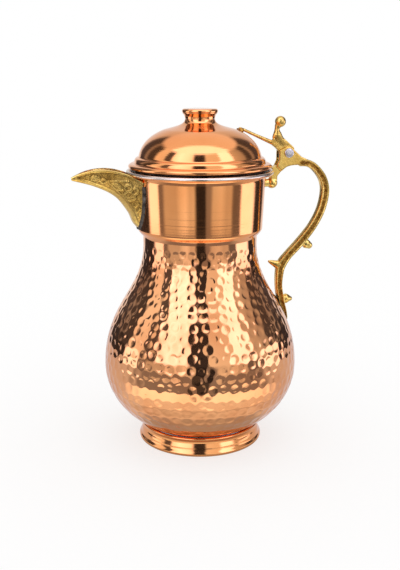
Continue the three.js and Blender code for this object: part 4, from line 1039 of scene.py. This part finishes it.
def cheek_relief(x, z, below_rim, above_keel):
    """The relief's height over the sunk ground, how far it is polished, and the painted shade beside it, 0 to
    1.
    """
    strokes = np.full(x.shape, 1e9)
    for line in CHEEK_LINES:
        strokes = np.minimum(strokes, line_distance(x, z, line))
    drawn = np.exp(-((strokes / STROKE_WIDTH) ** 2))
    border_in = np.minimum(below_rim - RIM_WIDTH, above_keel - KEEL_BAND)
    border = 1 / (1 + np.exp(np.clip(border_in / 0.18, -30, 30)))
    # Painted shade in the sunk ground beside the strokes and inside the border
    beside_strokes = np.exp(-(((strokes - 1.05) / 0.4) ** 2)) * (border_in > 0)
    beside_border = np.exp(-(((border_in - 0.45) / 0.4) ** 2))
    painted_shade = CHEEK_PAINTED_SHADE * np.maximum(beside_strokes, beside_border)
    return np.maximum(border, 0.85 * drawn * (border_in > 0)), border, painted_shade


def both_cheeks(cheek):
    """A ring of the beak from one cheek's points, mirrored for the other."""
    return np.vstack([cheek, (cheek * (1, -1, 1))[-2::-1]])


def places_of(made):
    """Its points in millimetres from the body's axis."""
    places = np.empty(len(made.data.vertices) * 3)
    made.data.vertices.foreach_get("co", places)
    return places.reshape(-1, 3) / MM - AXIS


side, width, below_rim, above_keel = spout_rings(SPOUT_STEPS, CHEEK_STEPS, 0)
raised, _, _ = cheek_relief(side[:, :, 0], side[:, :, 1], below_rim, above_keel)
tip_share = np.clip(np.arange(SPOUT_STEPS) / (SPOUT_STEPS * 0.12), 0, 1)[:, None]
width = np.maximum(width - RELIEF * (1 - raised) * tip_share * (width > 1.2), 0)
rings = [
    both_cheeks(np.column_stack([line[:, 0], half, line[:, 1]])) for line, half in zip(side, width)
]
brass_spout = outwards(mesh_piece("brass_spout", *loft(rings), [cast_brass]))

trough_side, trough_width, _, _ = spout_rings(TROUGH_STEPS, 25, -SPOUT_WALL)
rings = []
for i in range(6, TROUGH_STEPS):
    cheek = np.column_stack([trough_side[i, :, 0], trough_width[i], trough_side[i, :, 1]])
    cheek[0, 2] += 3 * SPOUT_WALL
    cheek[:, 0] += 3 if i == TROUGH_STEPS - 1 else 0
    rings.append(both_cheeks(cheek))
cut(brass_spout, *loft(rings))


def neck_solid(gap):
    """The neck with its lip as one solid, larger by a gap."""
    line = sideways(np.vstack([collar_outside, tube[1:], lip_under[1:], bead[:14]]), gap)
    top = LIP_HEIGHT + LIP_BEAD_RADIUS
    low = [(0, line[0, 1] - 20), (WAIST_RADIUS + gap, line[0, 1] - 20), (WAIST_RADIUS + gap, line[0, 1] - 1)]
    return turned(np.vstack([low, line, [(LIP_BEAD[0] + gap, top), (0, top)]]), 240)[:2]


cut(brass_spout, *neck_solid(JOINT_GAP))
spout_at = places_of(brass_spout)
x, z = spout_at[:, 0], spout_at[:, 2]
top, keel = spout_curves(80)
below_rim = np.interp(x, top[:, 0], top[:, 1]) - z
above_keel = line_distance(x, z, keel)
raised, border, painted_shade = cheek_relief(x, z, np.maximum(below_rim, 0), above_keel)
border *= np.where(above_keel < below_rim, KEEL_SHINE, 1.0)
give(brass_spout.data, "polish", np.clip(np.maximum(border, CAST_SHINE + raised * RELIEF_SHINE), 0, 1))
# Painted shade beside the relief
give(brass_spout.data, "crevice", painted_shade)
sharpened(brass_spout, 40)
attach(brass_spout, "jug")
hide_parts("spout")

# Handle. One brass casting: a bar with a grainy sunk channel on both sides, drawn like a twig with a
# spur and two buds, forked at the top into two ears for the pin, with an arm down to a ball that is
# riveted to the neck. Its tail is soldered to the belly.

HANDLE_WIDTH = 6.2
HANDLE_THICKNESS = 6.5
HANDLE_DIP = 5.5
HANDLE_BOW = 32.1
HANDLE_RIM = 1.25
HANDLE_CHANNEL = 0.8
TAIL_HEIGHT = 90.0
TAIL_PAD_WIDTH = 9.0
TAIL_PAD_SHARE = 0.2
EAR_RADIUS = 4.9
SLOT_RADIUS = 7.4
PIN_BORE = PIN_RADIUS + 0.1
# How dark the painted shade in the handle's sunk channel is
HANDLE_PAINTED_SHADE = 0.58
CAST_GRID = 0.4
END_ROUNDING = (0.5, 0.9, 1.25)
# Share of the way from the tail to the pin, distance out from that straight way, share of the width
HANDLE_STATIONS = (
    (0.0, 0.0, 0.65),
    (0.059, -0.27 * HANDLE_DIP, 0.8),
    (0.133, -0.7 * HANDLE_DIP, 0.82),
    (0.221, -HANDLE_DIP, 0.87),
    (0.3, -0.9 * HANDLE_DIP, 1.05),
    (0.345, -0.62 * HANDLE_DIP, 1.22),
    (0.398, 0.06 * HANDLE_BOW, 1.05),
    (0.471, 0.362 * HANDLE_BOW, 1.1),
    (0.565, 0.688 * HANDLE_BOW, 1.04),
    (0.666, 0.912 * HANDLE_BOW, 1.07),
    (0.771, HANDLE_BOW, 1.08),
    (0.848, 0.925 * HANDLE_BOW, 1.0),
    (0.909, 0.724 * HANDLE_BOW, 0.92),
    (0.936, 0.531 * HANDLE_BOW, 0.9),
    (0.943, 0.338 * HANDLE_BOW, 1.02),
)


def plate(outline, thickness):
    """A flat plate across the jug's middle, from an outline of distance out and height."""
    return loft([[(x, side * thickness / 2, z) for x, z in outline] for side in (-1, 1)])


def branch(places, radii, steps=14):
    """A round tapering twig with round ends, through places of distance out and height."""
    line = spline(places, steps)
    sizes = np.interp(np.linspace(0, len(radii) - 1, steps), range(len(radii)), radii)
    rings = []
    turns = round_turns(16)
    for (x, z), (ax, az), radius in zip(line, directions(line), sizes):
        out, across = radius * np.cos(turns), radius * np.sin(turns)
        rings.append(np.column_stack([x + az * out, across, z - ax * out]))
    ends = []
    for ring, inner in ((rings[0], rings[1]), (rings[-1], rings[-2])):
        middle = ring.mean(axis=0)
        step = (middle - inner.mean(axis=0)) / np.linalg.norm(middle - inner.mean(axis=0))
        tip = step * np.linalg.norm(ring[0] - middle)
        ends.append([middle + (ring - middle) * math.cos(a) + tip * math.sin(a) for a in END_ROUNDING])
    return loft(ends[0][::-1] + rings + ends[1])


def ball(centre, radius):
    """A ball in the jug's middle plane, its poles flat."""
    turns = round_turns(24)
    rings = []
    for a in np.radians(np.linspace(-80, 80, 13)):
        out, up = radius * math.cos(a), np.full(24, centre[1] + radius * math.sin(a))
        rings.append(np.column_stack([centre[0] + out * np.cos(turns), out * np.sin(turns), up]))
    return loft(rings)


def handle_bar(steps=170):
    """The bar, the places that it runs through, and its middle line for the polish."""
    tail_radius = np.interp(TAIL_HEIGHT, belly_outline()[:, 1], belly_outline()[:, 0])
    tail, pin = np.array((tail_radius, TAIL_HEIGHT)), np.array(PIN)
    places = [tail + (pin - tail) * up + (out, 0) for up, out, _ in HANDLE_STATIONS]
    line = spline(places, steps)
    along = directions(line)
    at = np.linspace(0, len(places) - 1, steps)
    widths = HANDLE_WIDTH * np.interp(at, range(len(places)), [w for _, _, w in HANDLE_STATIONS])
    rings = []
    for i in range(steps):
        pad = max(0.0, 1 - i / (steps - 1) / TAIL_PAD_SHARE)
        b = (HANDLE_THICKNESS + (TAIL_PAD_WIDTH - HANDLE_THICKNESS) * math.sqrt(pad)) / 2
        b *= 0.6 + 0.4 * min(1.0, i / 6)
        a = widths[i] / 2
        rim = min(HANDLE_RIM, a * 0.45)
        deep = min(HANDLE_CHANNEL, a * 0.3)
        corner = [(a, b - 1.3), (a - 0.35, b - 0.45), (a - rim * 0.55, b)]
        corner += [(a - rim, b - deep * 0.3), (a - rim - 0.5, b - deep)]
        half = corner + [(-u, v) for u, v in corner[::-1]]
        ring = half + [(-u, -v) for u, v in half]
        out_x, out_z = along[i, 1], -along[i, 0]
        rings.append(np.array([(line[i, 0] + out_x * u, v, line[i, 1] + out_z * u) for u, v in ring]))
    return loft(rings), places, line


def round_corner(centre, radius, start, end, steps=10):
    """Part of a circle, as a list."""
    return arc(centre, (radius, radius), start, end, steps).tolist()


def around_pin(offsets):
    """Places by their distance out and up from the pin."""
    return [(PIN[0] + x, PIN[1] + z) for x, z in offsets]


ear_outline = (
    around_pin([(14.5, -4.8), (10.7, -3.2), (6.4, 0.5), (4.4, 2.3)])
    + round_corner(PIN, EAR_RADIUS, 27, 126)
    + around_pin([(-7.6, 1.7), (-7.7, -5.6), (-9.5, -10)])
    + spline(around_pin([(-5.5, -13.9), (-1.7, -10.9), (2.9, -9.7), (8.1, -9.5), (12.4, -10)]), 17).tolist()
)
arm_outline = (
    around_pin([(16, -5.4), (10.7, -3.2), (-8, -6), (-9.8, -9.6), (-13.2, -11.3), (-13.6, -14)])
    + [(BOSS[0] - 2, BOSS[1] + 2), (BOSS[0] + 3.4, BOSS[1] + 1.8)]
    + around_pin([(-8.6, -17.4), (-5.5, -13.9), (-1.7, -10.9), (2.9, -9.7), (8.1, -9.5), (16, -10.6)])
)
slot_outline = (
    around_pin([(11.5, -1.5), (11.5, 20), (-25, 20), (-25, -9.2), (-8.6, -9.2)])
    + round_corner(PIN, SLOT_RADIUS, 216, 320, 16)
)


def cast(name, parts, grid):
    """Melts overlapping solids into one cast form with soft corners."""
    points, faces = joined(parts)
    made = outwards(mesh_piece(name, points, faces))
    melt = made.modifiers.new("melt", "REMESH")
    melt.mode = "VOXEL"
    melt.voxel_size = grid * MM
    soften = made.modifiers.new("soften", "SMOOTH")
    soften.factor = 0.5
    soften.iterations = 3
    evaluated(made, name)
    made.data.materials.clear()
    made.data.materials.append(cast_brass)
    return made


bar, stations, bar_line = handle_bar()


def at_station(index, *offsets):
    """Places beside one of the places that the bar runs through."""
    return [(stations[index][0] + x, stations[index][1] + z) for x, z in offsets]


handle_parts = [
    bar,
    plate(ear_outline, CLEVIS_WIDTH),
    plate(arm_outline, HANDLE_THICKNESS),
    ball(BOSS, 4.4),
    rod((COLLAR_TOP_RADIUS - 1, 0, BOSS[1]), (BOSS[0], 0, BOSS[1]), 3.2),
    branch(at_station(5, (0.2, -1.8), (-4.0, 0.1), (-10.4, 2.8)), (2.5, 3.3, 1.0)),
    branch(at_station(7, (1.4, 0.4), (5.6, -1.4), (8.2, -2.8)), (2.1, 3.9, 3.0)),
    branch(at_station(2, (0.6, -0.6), (4.8, 0.0), (8.2, -0.3)), (2.4, 4.2, 2.1)),
]
cast_handle = cast("cast_handle", handle_parts, CAST_GRID)
cut(cast_handle, *plate(slot_outline, CLEVIS_GAP))
pin_hole = rod((PIN[0], -9, PIN[1]), (PIN[0], 9, PIN[1]), PIN_BORE, 48)
cut(cast_handle, *pin_hole)
cut(cast_handle, *rod((BOSS[0] - 20, 0, BOSS[1]), (COLLAR_TOP_RADIUS + 4.8, 0, BOSS[1]), RIVET_RADIUS))
cut(cast_handle, *neck_solid(JOINT_GAP))
belly = evenly(belly_outline(), 3.0)
belly_solid = np.vstack([[(0, belly[0, 1])], sideways(belly, JOINT_GAP), [(0, belly[-1, 1])]])
cut(cast_handle, *turned(belly_solid, 240)[:2])
handle_at = places_of(cast_handle)
from_line = line_distance(handle_at[:, 0], handle_at[:, 2], bar_line)
near_rim = np.clip((from_line - 1.1) / 0.8, 0, 1)
ears = np.clip((handle_at[:, 2] - PIN[1] + 7) / 3, 0, 1) * (np.abs(handle_at[:, 0] - PIN[0]) < 12)
give(cast_handle.data, "polish", np.maximum(near_rim * 0.9, ears * 0.6) * 0.85)
# Painted shade in the sunk channel, away from the rims and the ears
give(cast_handle.data, "crevice", HANDLE_PAINTED_SHADE * (1 - near_rim) * (1 - ears))
sharpened(cast_handle, 45)
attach(cast_handle, "jug")
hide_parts("handle")

# Thumb lever. A brass casting that turns on the pin between the ears: a flat hinge eye, an abstract
# bowed figure with a ball for a head, and a long thin arm that is soldered to the dome.

HINGE_EYE_RADIUS = 4.7
LEVER_THICKNESS = 3.5
FIGURE_HEAD = (-6.1, 23.8)
FIGURE_HEAD_RADIUS = 4.3
ARM_REACH = 30.6
ARM_RADIUS = 1.15
LEVER_GRID = 0.34
LEVER_SHINE = 0.55
# Distance out and up from the pin, half the width and half the thickness
FIGURE_SECTIONS = (
    (-3.2, 5.2, 6.2, 1.7),
    (-6.2, 9.5, 6.1, 2.4),
    (-7.7, 12.8, 4.2, 2.9),
    (-8.1, 15.8, 2.9, 2.6),
    (-8.7, 18.4, 1.9, 1.9),
    (-7.9, 20.8, 2.6, 2.5),
)


def figure():
    """The bowed figure, as a skin over its sections."""
    sections = spline(FIGURE_SECTIONS, 40)
    turns = round_turns(28)
    rings = []
    for x, z, wide, thick in sections:
        out = wide * np.cos(turns)
        rings.append(np.column_stack([PIN[0] + x + out, thick * np.sin(turns), PIN[1] + z - 0.28 * out]))
    return loft(rings)


hip = spline(around_pin([(-13.6, 8.4), (-12.4, 5.8), (-10.2, 4.2), (-7.6, 1.4), (-4.5, -1.5)]), 13).tolist()
lever_outline = (
    around_pin([(4.6, 0.9), (5.4, 3.1), (4.5, 4.4), (-3.8, 11.6), (-12, 10.6)])
    + hip
    + round_corner(PIN, HINGE_EYE_RADIUS, 198, 371, 20)
)
arm_tip = np.array((ARM_REACH, dome_height(ARM_REACH) + ARM_RADIUS + 0.5))
shoulder = np.array(around_pin([(-12.8, 8)])[0])
arm_places = [arm_tip + (0.9, 0.0), arm_tip + (5, -1.6), (arm_tip + shoulder) / 2 + (0, 0.2), shoulder]
lever_parts = [
    plate(lever_outline, LEVER_THICKNESS),
    figure(),
    ball((PIN[0] + FIGURE_HEAD[0], PIN[1] + FIGURE_HEAD[1]), FIGURE_HEAD_RADIUS),
    branch(arm_places, [ARM_RADIUS * share for share in (0.95, 1, 1.05, 1.5)], 30),
]
cast_lever = cast("cast_lever", lever_parts, LEVER_GRID)
cut(cast_lever, *pin_hole)
give(cast_lever.data, "polish", np.full(len(cast_lever.data.vertices), LEVER_SHINE))
sharpened(cast_lever, 45)
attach(cast_lever, "lid")
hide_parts("thumb_lever")

# Solders and the rivet. Soft solder wiped round each joint has set dull and lumpy: dark grey along the
# spout, stained with flux. The rivet's head is hammered flat inside the neck. Their forms are the
# frame's own.

solder_tones = [(0.3, "#3A342E"), (0.55, "#665F57"), (0.8, "#968D82")]
solder = spotted_metal("soft_solder", "#7C746C", 0.5, (260.0, 4.0), solder_tones, (0.7, 0.0006))

for name in ("collar_solder", "foot_solder", "spout_solder", "tail_solder", "knob_solder"):
    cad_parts[name].material_slots[0].material = solder
for name in ("handle_rivet", "lever_arm_solder"):
    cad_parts[name].material_slots[0].material = cast_brass
